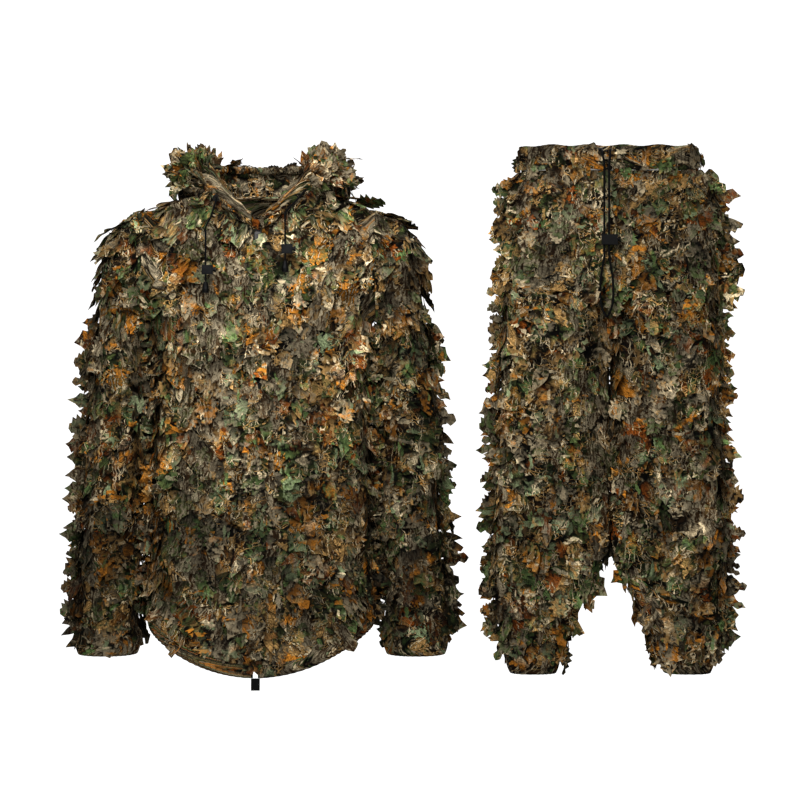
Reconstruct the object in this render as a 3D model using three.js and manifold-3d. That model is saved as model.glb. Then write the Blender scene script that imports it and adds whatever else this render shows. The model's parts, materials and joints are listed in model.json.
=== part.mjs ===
// A hooded leaf-flap camouflage suit: the jacket hangs from its neck opening, and the trousers
// hang beside it, a little further back, from their waistband. Millimetres, +Z up, front facing -Y.
// The origin is the point inside the jacket's neck that the jacket hangs from.
import * as THREE from 'three';
import { mergeVertices } from 'three/addons/utils/BufferGeometryUtils.js';
import Module from 'manifold-3d';

const wasm = await Module();
wasm.setup();

// ---- driving dimensions ----
const wall = 8;
const seamGap = 0.6;
const touchGap = 0.35;
const ringPoints = 20;

const jacket = {
  frontTop: -61,
  frontDepthTop: 100,
  frontSlope: 0.0677,
  hemCentre: -796,
  hemRise: 72,
  hemHalfWidth: 190,
  hemBand: 22,
  openingHalf: 16,
  // height, half width, front depth at the shoulders (lower down it follows the zip line), back depth
  levels: [
    [6, 60, 48, 48],
    [0, 110, 60, 60],
    [-6, 150, 68, 66],
    [-14, 175, 76, 74],
    [-25, 188, 84, 80],
    [-61, 192, 100, 88],
    [-120, 191, 0, 98],
    [-210, 190, 0, 105],
    [-480, 188, 0, 114],
    [-860, 190, 0, 121],
  ],
};

const shoulder = { axisZ: -120, radius: 98, hole: 88, planeX: 193.3 };

const sleeve = {
  cuffBottom: -775,
  cuffHeight: 24,
  // height, inner edge, outer edge, half depth
  levels: [
    [-120, 193.6, 272, 74],
    [-210, 193.8, 281, 72],
    [-400, 196, 298, 66],
    [-620, 205, 311, 57],
    [-745, 209, 314, 50],
    [-800, 211, 313, 47],
  ],
  // radius about the swing axis, distance out from the jacket's middle
  dome: [[98, 193.3], [88, 225], [74, 249], [44, 266], [0, 273]],
};

const trousers = {
  x: 608,
  y: 150,
  bandHalf: 158,
  bandDepth: 45,
  bandLow: 60,
  bandTop: 103,
  hingeZ: -200,
  hingeRadius: 70,
  ankleBottom: -829,
  ankleHeight: 26,
  seat: [
    [62, 158, 45],
    [30, 182, 52],
    [-30, 187, 58],
    [-120, 188, 62],
    [-260, 189, 62],
  ],
  // height, inner edge, outer edge, half depth
  leg: [
    [-100, 3, 188, 62],
    [-434, 3, 199, 56],
    [-600, 3, 207, 51],
    [-662, 20, 208, 48],
    [-721, 48, 206, 44],
    [-765, 67, 196, 41],
    [-810, 92, 182, 36],
    [-850, 96, 178, 35],
  ],
};

const hood = {
  // turn from the back of the neck, middle radius, middle height, half width, half height
  sections: [
    [0, 122, -22, 38, 92],
    [25, 122, -16, 38, 84],
    [50, 121, 2, 38, 64],
    [75, 116, 22, 40, 46],
    [100, 108, 24, 36, 38],
    [125, 94, 6, 25, 32],
    [150, 92, -22, 16, 24],
    [174, 100, -50, 9, 14],
  ],
};

const hoodCord = { radius: 1.6, casingRadius: 5, bore: 2.1 };
const waistCord = { radius: 2, strandHalf: 4.2, x: 594, y: 72, loopBottom: -201 };
const hoodLock = { width: 18, depth: 10, height: 15 };
const waistLock = { width: 28, depth: 12, height: 18 };

// How deep each elastic lies in its band, and the room its channel has round it.
const elastic = { outer: 2.5, inner: 5.5, room: 0.4, fromEdge: 5 };

// The zip's own numbers, in its leaning frame; the pull turns about a bar in the slider's lug.
const zip = {
  toothPitch: 20,
  toothBack: 5.4,
  toothFront: 2,
  spine: 3.6,
  sliderHalf: 4.6,
  sliderTop: -7,
  sliderBottom: -20,
  barY: -1.2,
  barZ: -9.5,
  barRadius: 0.7,
  lugHole: 1.1,
  pullHalf: 3.4,
  pullSide: 0.8,
  pullThick: 1.4,
  pullEye: -12.1,
  pullBottom: -46,
};

// ---- materials ----
const cloth = (colour) => new THREE.MeshStandardMaterial({ color: colour, roughness: 0.9, metalness: 0 });
const paint = {
  leafA: cloth(0x5d5a3a),
  leafB: cloth(0x6b5f43),
  leafC: cloth(0x4c5032),
  casing: cloth(0x3e3c2a),
  fringe: cloth(0x7a6b46),
  elastic: cloth(0xd8d6cc),
  cord: new THREE.MeshStandardMaterial({ color: 0x141414, roughness: 0.8, metalness: 0 }),
  plastic: new THREE.MeshStandardMaterial({ color: 0x0e0e0e, roughness: 0.45, metalness: 0 }),
  tape: new THREE.MeshStandardMaterial({ color: 0x2c2d20, roughness: 0.85, metalness: 0 }),
  teeth: new THREE.MeshStandardMaterial({ color: 0x1c1c18, roughness: 0.5, metalness: 0 }),
  steel: new THREE.MeshStandardMaterial({ color: 0x77797a, roughness: 0.35, metalness: 1 }),
  brass: new THREE.MeshStandardMaterial({ color: 0x2b2a28, roughness: 0.4, metalness: 0.9 }),
};

// ---- solids ----

// A closed triangle list as a solid, turned inside out first if its volume is negative.
function solidFromArrays(positions, triangles) {
  let volume = 0;
  const corner = (i) => new THREE.Vector3(positions[3 * i], positions[3 * i + 1], positions[3 * i + 2]);
  for (let t = 0; t < triangles.length; t += 3) {
    const [a, b, c] = [0, 1, 2].map((k) => corner(triangles[t + k]));
    volume += a.dot(b.cross(c));
  }
  const faces = volume < 0 ? triangles.map((_, i) => triangles[i - (i % 3) + 2 - (i % 3)]) : triangles;
  const shape = new wasm.Mesh({
    numProp: 3,
    vertProperties: Float32Array.from(positions),
    triVerts: Uint32Array.from(faces),
  });
  return new wasm.Manifold(shape);
}

// A three.js geometry as a solid: shared vertices are merged and empty triangles dropped.
function solid(geometry) {
  const bare = geometry.clone();
  bare.deleteAttribute('normal');
  bare.deleteAttribute('uv');
  const merged = mergeVertices(bare, 1e-3);
  const index = Array.from(merged.index.array);
  const kept = [];
  for (let t = 0; t < index.length; t += 3) {
    const [a, b, c] = index.slice(t, t + 3);
    if (a !== b && b !== c && c !== a) kept.push(a, b, c);
  }
  return solidFromArrays(Array.from(merged.attributes.position.array), kept);
}

// A solid through a row of rings with equally many points, its two ends closed by fans.
function loft(rings) {
  const count = rings[0].length;
  const positions = rings.flat(2);
  const triangles = [];
  for (let r = 0; r + 1 < rings.length; r += 1) {
    for (let i = 0; i < count; i += 1) {
      const a = r * count + i;
      const b = r * count + ((i + 1) % count);
      triangles.push(a, b, b + count, a, b + count, a + count);
    }
  }
  [0, rings.length - 1].forEach((r, end) => {
    const middle = positions.length / 3;
    const sum = rings[r].reduce((total, p) => total.map((v, k) => v + p[k] / count), [0, 0, 0]);
    positions.push(...sum);
    for (let i = 0; i < count; i += 1) {
      const a = r * count + i;
      const b = r * count + ((i + 1) % count);
      triangles.push(...(end === 0 ? [b, a, middle] : [a, b, middle]));
    }
  });
  return solidFromArrays(positions, triangles);
}

// A level rounded-box ring: |cos|^(2/power) across and |sin|^(2/power) front to back.
function levelRing(z, middleX, halfX, front, back, power, middleY = 0) {
  return Array.from({ length: ringPoints }, (_, i) => {
    const turn = (i / ringPoints) * 2 * Math.PI;
    const across = Math.sign(Math.cos(turn)) * Math.abs(Math.cos(turn)) ** (2 / power);
    const along = Math.sign(Math.sin(turn)) * Math.abs(Math.sin(turn)) ** (2 / power);
    return [middleX + halfX * across, middleY + (along < 0 ? front : back) * along, z];
  });
}

function box(x0, x1, y0, y1, z0, z1) {
  const shape = new THREE.BoxGeometry(x1 - x0, y1 - y0, z1 - z0);
  shape.translate((x0 + x1) / 2, (y0 + y1) / 2, (z0 + z1) / 2);
  return solid(shape);
}

// A box between two distances out from the middle, on the given side.
function sideBox(side, near, far, y0, y1, z0, z1) {
  return box(Math.min(side * near, side * far), Math.max(side * near, side * far), y0, y1, z0, z1);
}

// An outline drawn in X and Z, pushed from y0 to y1.
function plate(points, y0, y1) {
  const outline = new THREE.Shape(points.map(([x, z]) => new THREE.Vector2(x, z)));
  const shape = new THREE.ExtrudeGeometry(outline, { depth: y1 - y0, bevelEnabled: false });
  shape.rotateX(Math.PI / 2);
  shape.translate(0, y1, 0);
  return solid(shape);
}

// A round bar along X, from x0 to x1.
function barX(radius, x0, x1, y, z, sides = 26) {
  const shape = new THREE.CylinderGeometry(radius, radius, Math.abs(x1 - x0), sides);
  shape.rotateZ(Math.PI / 2);
  shape.translate((x0 + x1) / 2, y, z);
  return solid(shape);
}

// A round bar along Z, from z0 to z1.
function barZ(radius, x, y, z0, z1, sides = 16) {
  const shape = new THREE.CylinderGeometry(radius, radius, z1 - z0, sides);
  shape.rotateX(Math.PI / 2);
  shape.translate(x, y, (z0 + z1) / 2);
  return solid(shape);
}

// A round tube along a curve, solid or with a bore.
function tube(curve, radius, steps, sides = 8, bore = 0) {
  const circle = (r) => Array.from({ length: sides }, (_, i) => {
    const turn = (i / sides) * 2 * Math.PI;
    return new THREE.Vector2(r * Math.cos(turn), r * Math.sin(turn));
  });
  const outline = new THREE.Shape(circle(radius));
  if (bore > 0) outline.holes.push(new THREE.Path(circle(bore).reverse()));
  return solid(new THREE.ExtrudeGeometry(outline, { steps, extrudePath: curve, bevelEnabled: false }));
}

const curveThrough = (points) => new THREE.CatmullRomCurve3(
  points.map((p) => new THREE.Vector3(...p)), false, 'centripetal');

const group = new THREE.Group();

// Puts a finished solid into the model as one named mesh.
function add(name, shape, material, parent = group) {
  const { vertProperties, triVerts } = shape.getMesh();
  const geometry = new THREE.BufferGeometry();
  geometry.setAttribute('position', new THREE.BufferAttribute(vertProperties, 3));
  geometry.setIndex(new THREE.BufferAttribute(triVerts, 1));
  geometry.computeVertexNormals();
  const mesh = new THREE.Mesh(geometry, material.clone());
  mesh.name = name;
  parent.add(mesh);
}

const sides = [['left', -1], ['right', 1]];
const frontDepth = (z) => jacket.frontDepthTop + (jacket.frontTop - z) * jacket.frontSlope;

// ---- jacket body ----

// The jacket's trunk, grown outward on every side by the given amount.
function trunk(grow) {
  return loft(jacket.levels.map(([z, half, front, back], i) => {
    const depth = front || frontDepth(z);
    return levelRing(i === 0 ? z + grow : z, 0, half + grow, depth + grow, back + grow, 2.4);
  }));
}

const trunkOuter = trunk(0);
const trunkInner = trunk(-wall);

const neckHole = (() => {
  const shape = new THREE.CylinderGeometry(1, 1, 120, 32);
  shape.rotateX(Math.PI / 2);
  shape.scale(78, 66, 1);
  return solid(shape);
})();
const neckVee = plate([[0, -61], [51, -27], [78, 22], [78, 70], [-78, 70], [-78, 22], [-51, -27]], -200, 0);

// Everything lower than the curved hem, raised by the given amount.
function belowHem(raise) {
  const reach = 320;
  const across = Array.from({ length: 17 }, (_, i) => -reach + (i * 2 * reach) / 16);
  const curve = across.map((x) => {
    const share = Math.min(Math.abs(x) / jacket.hemHalfWidth, 1.2);
    return [x, jacket.hemCentre + jacket.hemRise * share ** 2 + raise];
  });
  return plate([[-reach, -900], ...curve, [reach, -900]], -260, 260);
}

// The short round of cloth that joins the trunk to each sleeve's round opening.
function armholeRing(side) {
  const outer = barX(shoulder.radius, side * 60, side * (shoulder.planeX - seamGap), 0, shoulder.axisZ);
  return outer.subtract(trunkInner);
}

const armHoles = sides.map(([, side]) => barX(shoulder.hole, side * 120, side * 220, 0, shoulder.axisZ));
const trunkShell = trunkOuter
  .add(armholeRing(-1))
  .add(armholeRing(1))
  .subtract(trunkInner)
  .subtract(armHoles[0])
  .subtract(armHoles[1])
  .subtract(neckHole)
  .subtract(neckVee)
  .subtract(belowHem(0));
const frontGap = box(-jacket.openingHalf, jacket.openingHalf, -260, 0, -900, 40);
const trunkOpen = trunkShell.subtract(frontGap);
const trunkPanels = trunkOpen.subtract(belowHem(jacket.hemBand + seamGap));
const sideSeam = 6;

add('jacket_back', trunkPanels.intersect(box(-260, 260, sideSeam, 260, -900, 60)), paint.leafB);
sides.forEach(([name, side]) => {
  const half = sideBox(side, 0, 260, -260, sideSeam - seamGap, -900, 60);
  add(`jacket_front_${name}`, trunkPanels.intersect(half), side < 0 ? paint.leafA : paint.leafC);
});

// The hem's casing, with the elastic lying in a channel that is open at the zip.
const hemSlab = (low, high) => belowHem(high).subtract(belowHem(low));
const channel = (room, low, high) => trunk(room - elastic.outer)
  .subtract(trunk(-room - elastic.inner))
  .intersect(hemSlab(low, high));
const hemRing = trunkOpen.intersect(belowHem(jacket.hemBand));
add('hem_casing', hemRing.subtract(channel(elastic.room, 4.5, 17.5)), paint.casing);
const elasticGap = box(-jacket.openingHalf - 1.5, jacket.openingHalf + 1.5, -260, 0, -900, 40);
add('hem_elastic', channel(0, elastic.fromEdge, 17).subtract(elasticGap), paint.elastic);

// ---- hood, gathered round the neck and hanging behind it ----

// The hood's cross-sections run from the middle of the back round one side to the top of the zip.
function hoodHalf(side) {
  const path = hood.sections;
  const stops = 14;
  const first = 0.3;
  const last = path[path.length - 1][0];
  const rings = Array.from({ length: stops + 1 }, (_, i) => {
    const turn = first + ((last - first) * i) / stops;
    const next = Math.max(1, path.findIndex((s) => s[0] >= turn));
    const [from, to] = [path[next - 1], path[next]];
    const share = THREE.MathUtils.smoothstep(turn, from[0], to[0]);
    const [radius, height, halfWidth, halfHeight] = [1, 2, 3, 4]
      .map((k) => THREE.MathUtils.lerp(from[k], to[k], share));
    const angle = THREE.MathUtils.degToRad(turn);
    return Array.from({ length: 12 }, (_, k) => {
      const spin = (k / 12) * 2 * Math.PI;
      const reach = radius + halfWidth * Math.cos(spin);
      return [side * reach * Math.sin(angle), reach * Math.cos(angle), height + halfHeight * Math.sin(spin)];
    });
  });
  return loft(rings);
}

const cordExit = { left: [-70, -81, -9], right: [82, -54, 18] };
const casingPoints = [
  cordExit.left, [-74, -40, 20], [-76, 0, 44], [-58, 52, 52], [0, 79, 54],
  [58, 52, 52], [76, 0, 46], [83, -30, 34], cordExit.right,
];
const casingCurve = curveThrough(casingPoints);
const casingRoom = tube(casingCurve, hoodCord.casingRadius + touchGap, 28, 8);

// The tails leave the casing's ends, cross the hood's roll and then hang straight down.
const tails = {
  left: { over: [-76, -112, -44], straightTop: -64, lockZ: -132, bellTop: -152, x: -83, y: -126 },
  right: { over: [66, -98, -14], straightTop: -40, lockZ: -98, bellTop: -118, x: 47, y: -126 },
};
sides.forEach(([name]) => {
  const tail = tails[name];
  const isLeft = name === 'left';
  const end = new THREE.Vector3(...casingPoints[isLeft ? 0 : casingPoints.length - 1]);
  tail.out = casingCurve.getTangent(isLeft ? 0 : 1).multiplyScalar(isLeft ? -1 : 1);
  tail.eyelet = end.clone().addScaledVector(tail.out, 2);
  const { over, straightTop, bellTop, x, y } = tail;
  tail.route = curveThrough([
    end.clone().addScaledVector(tail.out, touchGap).toArray(),
    end.clone().addScaledVector(tail.out, 8).toArray(),
    over,
    [x, y, straightTop],
    [x, y, straightTop - 10],
    [x, y, bellTop + touchGap],
  ]);
});
const hoodRoom = trunk(touchGap)
  .add(casingRoom)
  .add(tube(tails.left.route, 7, 20, 8))
  .add(tube(tails.right.route, 7, 20, 8))
  .add(box(-15, 15, -260, 0, -120, 40));
sides.forEach(([name, side]) => {
  const own = sideBox(side, touchGap, 260, -260, 260, -300, 200);
  const cloak = hoodHalf(side).intersect(own).subtract(hoodRoom);
  const biggest = cloak.decompose().sort((a, b) => b.volume() - a.volume())[0];
  add(`hood_${name}`, biggest, side < 0 ? paint.leafC : paint.leafA);
});
add('hood_rim_casing', tube(casingCurve, hoodCord.casingRadius, 28, 8, hoodCord.bore), paint.casing);
add('hood_cord_hidden', tube(casingCurve, hoodCord.radius, 28, 8), paint.cord);

// ---- the cord's tails, each through an eyelet, with a cord lock and a bell end ----

// A small ring round a point, its hole along the given direction.
function eyelet(point, direction, outer, bore, length) {
  const ringShape = new THREE.LatheGeometry([
    new THREE.Vector2(bore, -length / 2),
    new THREE.Vector2(outer, -length / 2),
    new THREE.Vector2(outer, length / 2),
    new THREE.Vector2(bore, length / 2),
    new THREE.Vector2(bore, -length / 2),
  ], 16);
  const spin = new THREE.Quaternion().setFromUnitVectors(new THREE.Vector3(0, 1, 0), direction);
  ringShape.applyQuaternion(spin);
  ringShape.translate(...point.toArray());
  return solid(ringShape);
}

// A cord lock's barrel standing on a straight cord along Z, with its button pressed in along X.
function cordLock(name, x, y, z, size, bores) {
  const { width, depth, height } = size;
  const right = x + width / 2;
  const pocket = 8;
  let barrel = box(x - width / 2, right, y - depth / 2, y + depth / 2, z - height / 2, z + height / 2);
  bores.forEach(({ at, radius }) => {
    barrel = barrel.subtract(barZ(radius, at, y, z - height, z + height));
  });
  barrel = barrel.subtract(barX(3.4, right - pocket, right + 1, y, z, 16));
  add(`${name}_barrel`, barrel, paint.plastic);
  add(`${name}_spring`, barX(2.6, right - pocket + 0.3, right - 4.4, y, z, 12)
    .subtract(barX(1.6, right - pocket - 1, right, y, z, 12)), paint.steel);
  add(`${name}_button`, barX(3, right - 2, right + 2.6, y, z, 16)
    .add(barX(4.4, right + 2.4, right + 5, y, z, 16)), paint.plastic);
}

sides.forEach(([name]) => {
  const { route, out, lockZ, bellTop, x, y } = tails[name];
  add(`hood_eyelet_${name}`, eyelet(tails[name].eyelet, out, 6.2, 2.1, 3), paint.brass);
  add(`hood_cord_${name}`, tube(route, hoodCord.radius, 28, 8), paint.cord);
  const lockX = x + 3;
  cordLock(`hood_lock_${name}`, lockX, y, lockZ, hoodLock, [{ at: x, radius: hoodCord.bore }]);
  const bell = new THREE.LatheGeometry([
    new THREE.Vector2(0, -18), new THREE.Vector2(5.4, -18), new THREE.Vector2(6, -12),
    new THREE.Vector2(3.4, 0), new THREE.Vector2(0, 0),
  ], 16);
  bell.rotateX(Math.PI / 2);
  bell.translate(x, y, bellTop);
  add(`cord_bell_${name}`, solid(bell), paint.plastic);
});

// ---- hanging loop inside the back of the neck ----
const loopCurve = curveThrough([[-24, 58, -36], [-22, 55, -20], [0, 50, -8], [22, 55, -20], [24, 58, -36]]);
add('hanger_loop', tube(loopCurve, 2.2, 12, 6), paint.casing);

// ---- front zip, built in its own leaning frame: Z up the zip, -Y out of the front ----
const zipFrame = new THREE.Group();
zipFrame.position.set(0, -jacket.frontDepthTop, jacket.frontTop);
zipFrame.rotation.x = -Math.atan(jacket.frontSlope);
group.add(zipFrame);
const zipLength = (jacket.frontTop - jacket.hemCentre) * Math.hypot(1, jacket.frontSlope);
const toothCount = Math.floor((zipLength - 12) / zip.toothPitch);

// One side of the chain: a spine beside the middle line with square teeth toward it.
function teethRow(side) {
  const points = [[side * zip.spine, -4], [side * zip.spine, -4 - toothCount * zip.toothPitch]];
  for (let i = toothCount; i > 0; i -= 1) {
    const top = -4 - (i - 1) * zip.toothPitch;
    points.push([side * 2.2, top - zip.toothPitch + 1], [side * 0.9, top - zip.toothPitch + 1]);
    points.push([side * 0.9, top - 1], [side * 2.2, top - 1]);
  }
  return plate(points, zip.toothFront, zip.toothBack);
}

sides.forEach(([name, side]) => {
  const [near, far] = [4.0, jacket.openingHalf - seamGap];
  const tape = sideBox(side, near, far, 3, 4.2, -zipLength, -2);
  add(`zip_tape_${name}`, tape, paint.tape, zipFrame);
  add(`zip_teeth_${name}`, teethRow(side), paint.teeth, zipFrame);
});
add('zip_bottom_box', box(-7, 7, 0.6, 6.8, -zipLength - 20, -zipLength - seamGap), paint.plastic, zipFrame);
const sliderPlate = (y0, y1) => box(-zip.sliderHalf, zip.sliderHalf, y0, y1, zip.sliderBottom, zip.sliderTop);
const slider = sliderPlate(0.2, 1.6)
  .add(sliderPlate(zip.toothBack + 0.4, zip.toothBack + 1.8))
  .add(box(-0.5, 0.5, 0.4, 7, zip.sliderBottom + 2, zip.sliderTop - 2))
  .add(box(-2.2, 2.2, -2.6, 0.6, zip.barZ - 1.5, zip.barZ + 1.5)
    .subtract(barX(zip.lugHole, -3, 3, zip.barY, zip.barZ, 12)));
add('zip_slider', slider, paint.brass, zipFrame);

// The pull: a tab below the lug, held by two arms that carry the bar through the lug's hole.
const pullFront = zip.barY - zip.pullThick / 2;
const pullBack = zip.barY + zip.pullThick / 2;
const pullArm = (side) => sideBox(side, zip.pullHalf - zip.pullSide, zip.pullHalf, pullFront, pullBack,
  zip.pullEye - 0.2, zip.barZ + 0.7);
const pull = box(-zip.pullHalf, zip.pullHalf, pullFront, pullBack, zip.pullBottom, zip.pullEye)
  .add(pullArm(-1))
  .add(pullArm(1))
  .add(barX(zip.barRadius, -3, 3, zip.barY, zip.barZ, 10));
add('zip_pull', pull, paint.brass, zipFrame);

// ---- sleeves ----

// A sleeve's tube and rounded head, drawn in from its outside by the given inset.
function sleeveSolid(side, inset) {
  const rings = sleeve.levels.map(([z, inner, outer, depth]) => {
    const middle = (side * (inner + outer)) / 2;
    return levelRing(z, middle, (outer - inner) / 2 - inset, depth - inset, depth - inset, 2.2);
  });
  const head = new THREE.LatheGeometry([
    new THREE.Vector2(0, shoulder.planeX - inset),
    ...sleeve.dome.map(([radius, out]) => {
      const near = out === shoulder.planeX;
      return new THREE.Vector2(radius ? radius - inset : 0, near ? out - inset : out - inset * 0.8);
    }),
  ], 22);
  head.rotateZ((-side * Math.PI) / 2);
  head.translate(0, 0, shoulder.axisZ);
  return loft(rings).add(solid(head));
}

// A zigzag strip of leaf tips standing out from an edge, given as height and distance pairs.
function leafFringe(edge, side, y, top, bottom, pitch, reach, keepOut) {
  const at = (z) => {
    const next = Math.max(1, edge.findIndex(([level]) => level <= z));
    const [from, to] = [edge[next - 1], edge[next]];
    return THREE.MathUtils.mapLinear(z, from[0], to[0], from[1], to[1]);
  };
  const count = Math.floor((top - bottom) / pitch);
  const tips = [];
  for (let i = 0; i < count; i += 1) {
    const z = top - i * pitch;
    tips.push([side * (at(z) + 2), z], [side * (at(z - pitch * 0.7) + reach), z - pitch * 0.7]);
  }
  const last = top - count * pitch;
  const points = [...tips, [side * (at(last) + 2), last], [side * (at(last) - 12), last],
    [side * (at(top) - 12), top]];
  return plate(points, y - 1.2, y + 1.2).subtract(keepOut);
}

const cuffTop = sleeve.cuffBottom + sleeve.cuffHeight;
sides.forEach(([name, side]) => {
  const above = (z) => box(-400, 400, -200, 200, z, 40);
  const shell = sleeveSolid(side, 0)
    .subtract(sleeveSolid(side, wall))
    .intersect(above(sleeve.cuffBottom));
  add(`sleeve_${name}`, shell.intersect(above(cuffTop + seamGap)), side < 0 ? paint.leafC : paint.leafA);
  const band = (room, low, high) => sleeveSolid(side, elastic.outer - room)
    .subtract(sleeveSolid(side, elastic.inner + room))
    .intersect(box(-400, 400, -200, 200, low, high));
  const bottom = sleeve.cuffBottom;
  const cuff = shell.intersect(box(-400, 400, -200, 200, bottom, cuffTop))
    .subtract(band(elastic.room, bottom + 4.5, bottom + 18.5))
    .subtract(sideBox(side, 213.5, 228, -4, 4, bottom + 8, bottom + 14));
  add(`cuff_${name}`, cuff, paint.casing);
  add(`cuff_elastic_${name}`, band(0, bottom + elastic.fromEdge, bottom + 18), paint.elastic);
  const edge = sleeve.levels.map(([z, , outer]) => [z, outer]);
  const fringe = leafFringe(edge, side, 0, -230, -745, 46, 24, sleeveSolid(side, -touchGap));
  add(`sleeve_fringe_${name}`, fringe, paint.fringe);
});

// ---- trousers ----
const waist = new THREE.Group();
waist.position.set(trousers.x, trousers.y, 0);
group.add(waist);

const straight = trousers.bandHalf - trousers.bandDepth;

// A waistband outline: straight front and back with half-round ends, drawn in by the inset.
function bandSolid(inset, low, high) {
  const radius = trousers.bandDepth - inset;
  const outline = new THREE.Shape();
  outline.moveTo(-straight, -radius);
  outline.lineTo(straight, -radius);
  outline.absarc(straight, 0, radius, -Math.PI / 2, Math.PI / 2, false);
  outline.lineTo(-straight, radius);
  outline.absarc(-straight, 0, radius, Math.PI / 2, (3 * Math.PI) / 2, false);
  const shape = new THREE.ExtrudeGeometry(outline, { depth: high - low, bevelEnabled: false, curveSegments: 8 });
  shape.translate(0, 0, low);
  return solid(shape);
}

// The cord's hidden run: round the waist inside the band, from one eyelet to the other.
const cordX = waistCord.x - trousers.x;
const hiddenY = -(trousers.bandDepth - wall / 2);
const hiddenZ = 93;
const runHalf = trousers.bandHalf - wall / 2;
const eyeletHalf = 8;
const hiddenRun = curveThrough([
  [cordX - eyeletHalf - 1, hiddenY, hiddenZ],
  [cordX - 60, hiddenY, hiddenZ],
  [-straight, hiddenY, hiddenZ],
  [-straight + hiddenY * Math.SQRT1_2, hiddenY * Math.SQRT1_2, hiddenZ],
  [-runHalf, 0, hiddenZ],
  [-straight + hiddenY * Math.SQRT1_2, -hiddenY * Math.SQRT1_2, hiddenZ],
  [-straight, -hiddenY, hiddenZ],
  [-38, -hiddenY, hiddenZ],
  [38, -hiddenY, hiddenZ],
  [straight, -hiddenY, hiddenZ],
  [straight - hiddenY * Math.SQRT1_2, -hiddenY * Math.SQRT1_2, hiddenZ],
  [runHalf, 0, hiddenZ],
  [straight - hiddenY * Math.SQRT1_2, hiddenY * Math.SQRT1_2, hiddenZ],
  [straight, hiddenY, hiddenZ],
  [cordX + 60, hiddenY, hiddenZ],
  [cordX + eyeletHalf + 1, hiddenY, hiddenZ],
]);
const eyeletHoles = [-1, 1].map((s) => {
  const hole = new THREE.CylinderGeometry(4, 4, 20, 16);
  hole.translate(cordX + s * eyeletHalf, -trousers.bandDepth, hiddenZ);
  return solid(hole);
});
const bandShell = bandSolid(0, trousers.bandLow, trousers.bandTop)
  .subtract(bandSolid(wall, trousers.bandLow - 5, trousers.bandTop + 5))
  .subtract(bandSolid(elastic.outer - elastic.room, 63.5, 84.5)
    .subtract(bandSolid(elastic.inner + elastic.room, 60, 90)))
  .subtract(tube(hiddenRun, waistCord.radius + 0.5, 44, 8))
  .subtract(eyeletHoles[0])
  .subtract(eyeletHoles[1]);
add('waistband_front', bandShell.intersect(box(-200, 200, -80, -seamGap / 2, 0, 120)), paint.leafA, waist);
add('waistband_back', bandShell.intersect(box(-200, 200, seamGap / 2, 80, 0, 120)), paint.leafB, waist);
const waistElastic = bandSolid(elastic.outer, 64, 84).subtract(bandSolid(elastic.inner, 60, 90));
add('waist_elastic', waistElastic, paint.elastic, waist);
add('waist_cord_hidden', tube(hiddenRun, waistCord.radius, 44, 8), paint.cord, waist);

// The seat, split front and back, and the two legs that swing under its rounded lower edge.
function seatSolid(inset) {
  return loft(trousers.seat.map(([z, half, depth]) => levelRing(
    z, 0, half - inset, depth - inset, depth - inset, 2.6)));
}

function legSolid(side, inset) {
  return loft(trousers.leg.map(([z, inner, outer, depth]) => levelRing(
    z, (side * (inner + outer)) / 2, (outer - inner) / 2 - inset, depth - inset, depth - inset, 2.5)));
}

const swingBar = (grow) => barX(trousers.hingeRadius + grow, -230, 230, 0, trousers.hingeZ, 32);
const swingRoom = swingBar(seamGap).add(box(-230, 230, -100, 100, -900, trousers.hingeZ));
const seatShell = seatSolid(0)
  .subtract(seatSolid(wall))
  .intersect(box(-230, 230, -100, 100, -300, trousers.bandLow - seamGap))
  .subtract(swingRoom);
add('seat_front', seatShell.intersect(box(-230, 230, -100, -seamGap / 2, -300, 100)), paint.leafC, waist);
add('seat_back', seatShell.intersect(box(-230, 230, seamGap / 2, 100, -300, 100)), paint.leafB, waist);

const ankleTop = trousers.ankleBottom + trousers.ankleHeight;
sides.forEach(([name, side]) => {
  const swings = swingBar(0).add(box(-230, 230, -100, 100, trousers.ankleBottom, trousers.hingeZ));
  const shell = legSolid(side, 0).subtract(legSolid(side, wall)).intersect(swings);
  const legPart = shell.intersect(box(-230, 230, -100, 100, ankleTop + seamGap, 0));
  const front = legPart.intersect(box(-230, 230, -100, -seamGap / 2, -900, 0));
  const back = legPart.intersect(box(-230, 230, seamGap / 2, 100, -900, 0));
  add(`leg_front_${name}`, front, side < 0 ? paint.leafA : paint.leafC, waist);
  add(`leg_back_${name}`, back, side < 0 ? paint.leafC : paint.leafB, waist);
  const band = (room, low, high) => legSolid(side, elastic.outer - room)
    .subtract(legSolid(side, elastic.inner + room))
    .intersect(box(-230, 230, -100, 100, low, high));
  const bottom = trousers.ankleBottom;
  const cuff = shell.intersect(box(-230, 230, -100, 100, bottom, ankleTop))
    .subtract(band(elastic.room, bottom + 4.5, bottom + 18.5))
    .subtract(sideBox(side, 133, 141, 20, 32, bottom + 8, bottom + 14));
  add(`ankle_cuff_${name}`, cuff, paint.casing, waist);
  add(`ankle_elastic_${name}`, band(0, bottom + elastic.fromEdge, bottom + 18), paint.elastic, waist);
  const edge = trousers.leg.map(([z, , outer]) => [z, outer]);
  const fringe = leafFringe(edge, side, 0, -240, -760, 46, 24, legSolid(side, -touchGap));
  add(`leg_fringe_${name}`, fringe, paint.fringe, waist);
});

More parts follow.
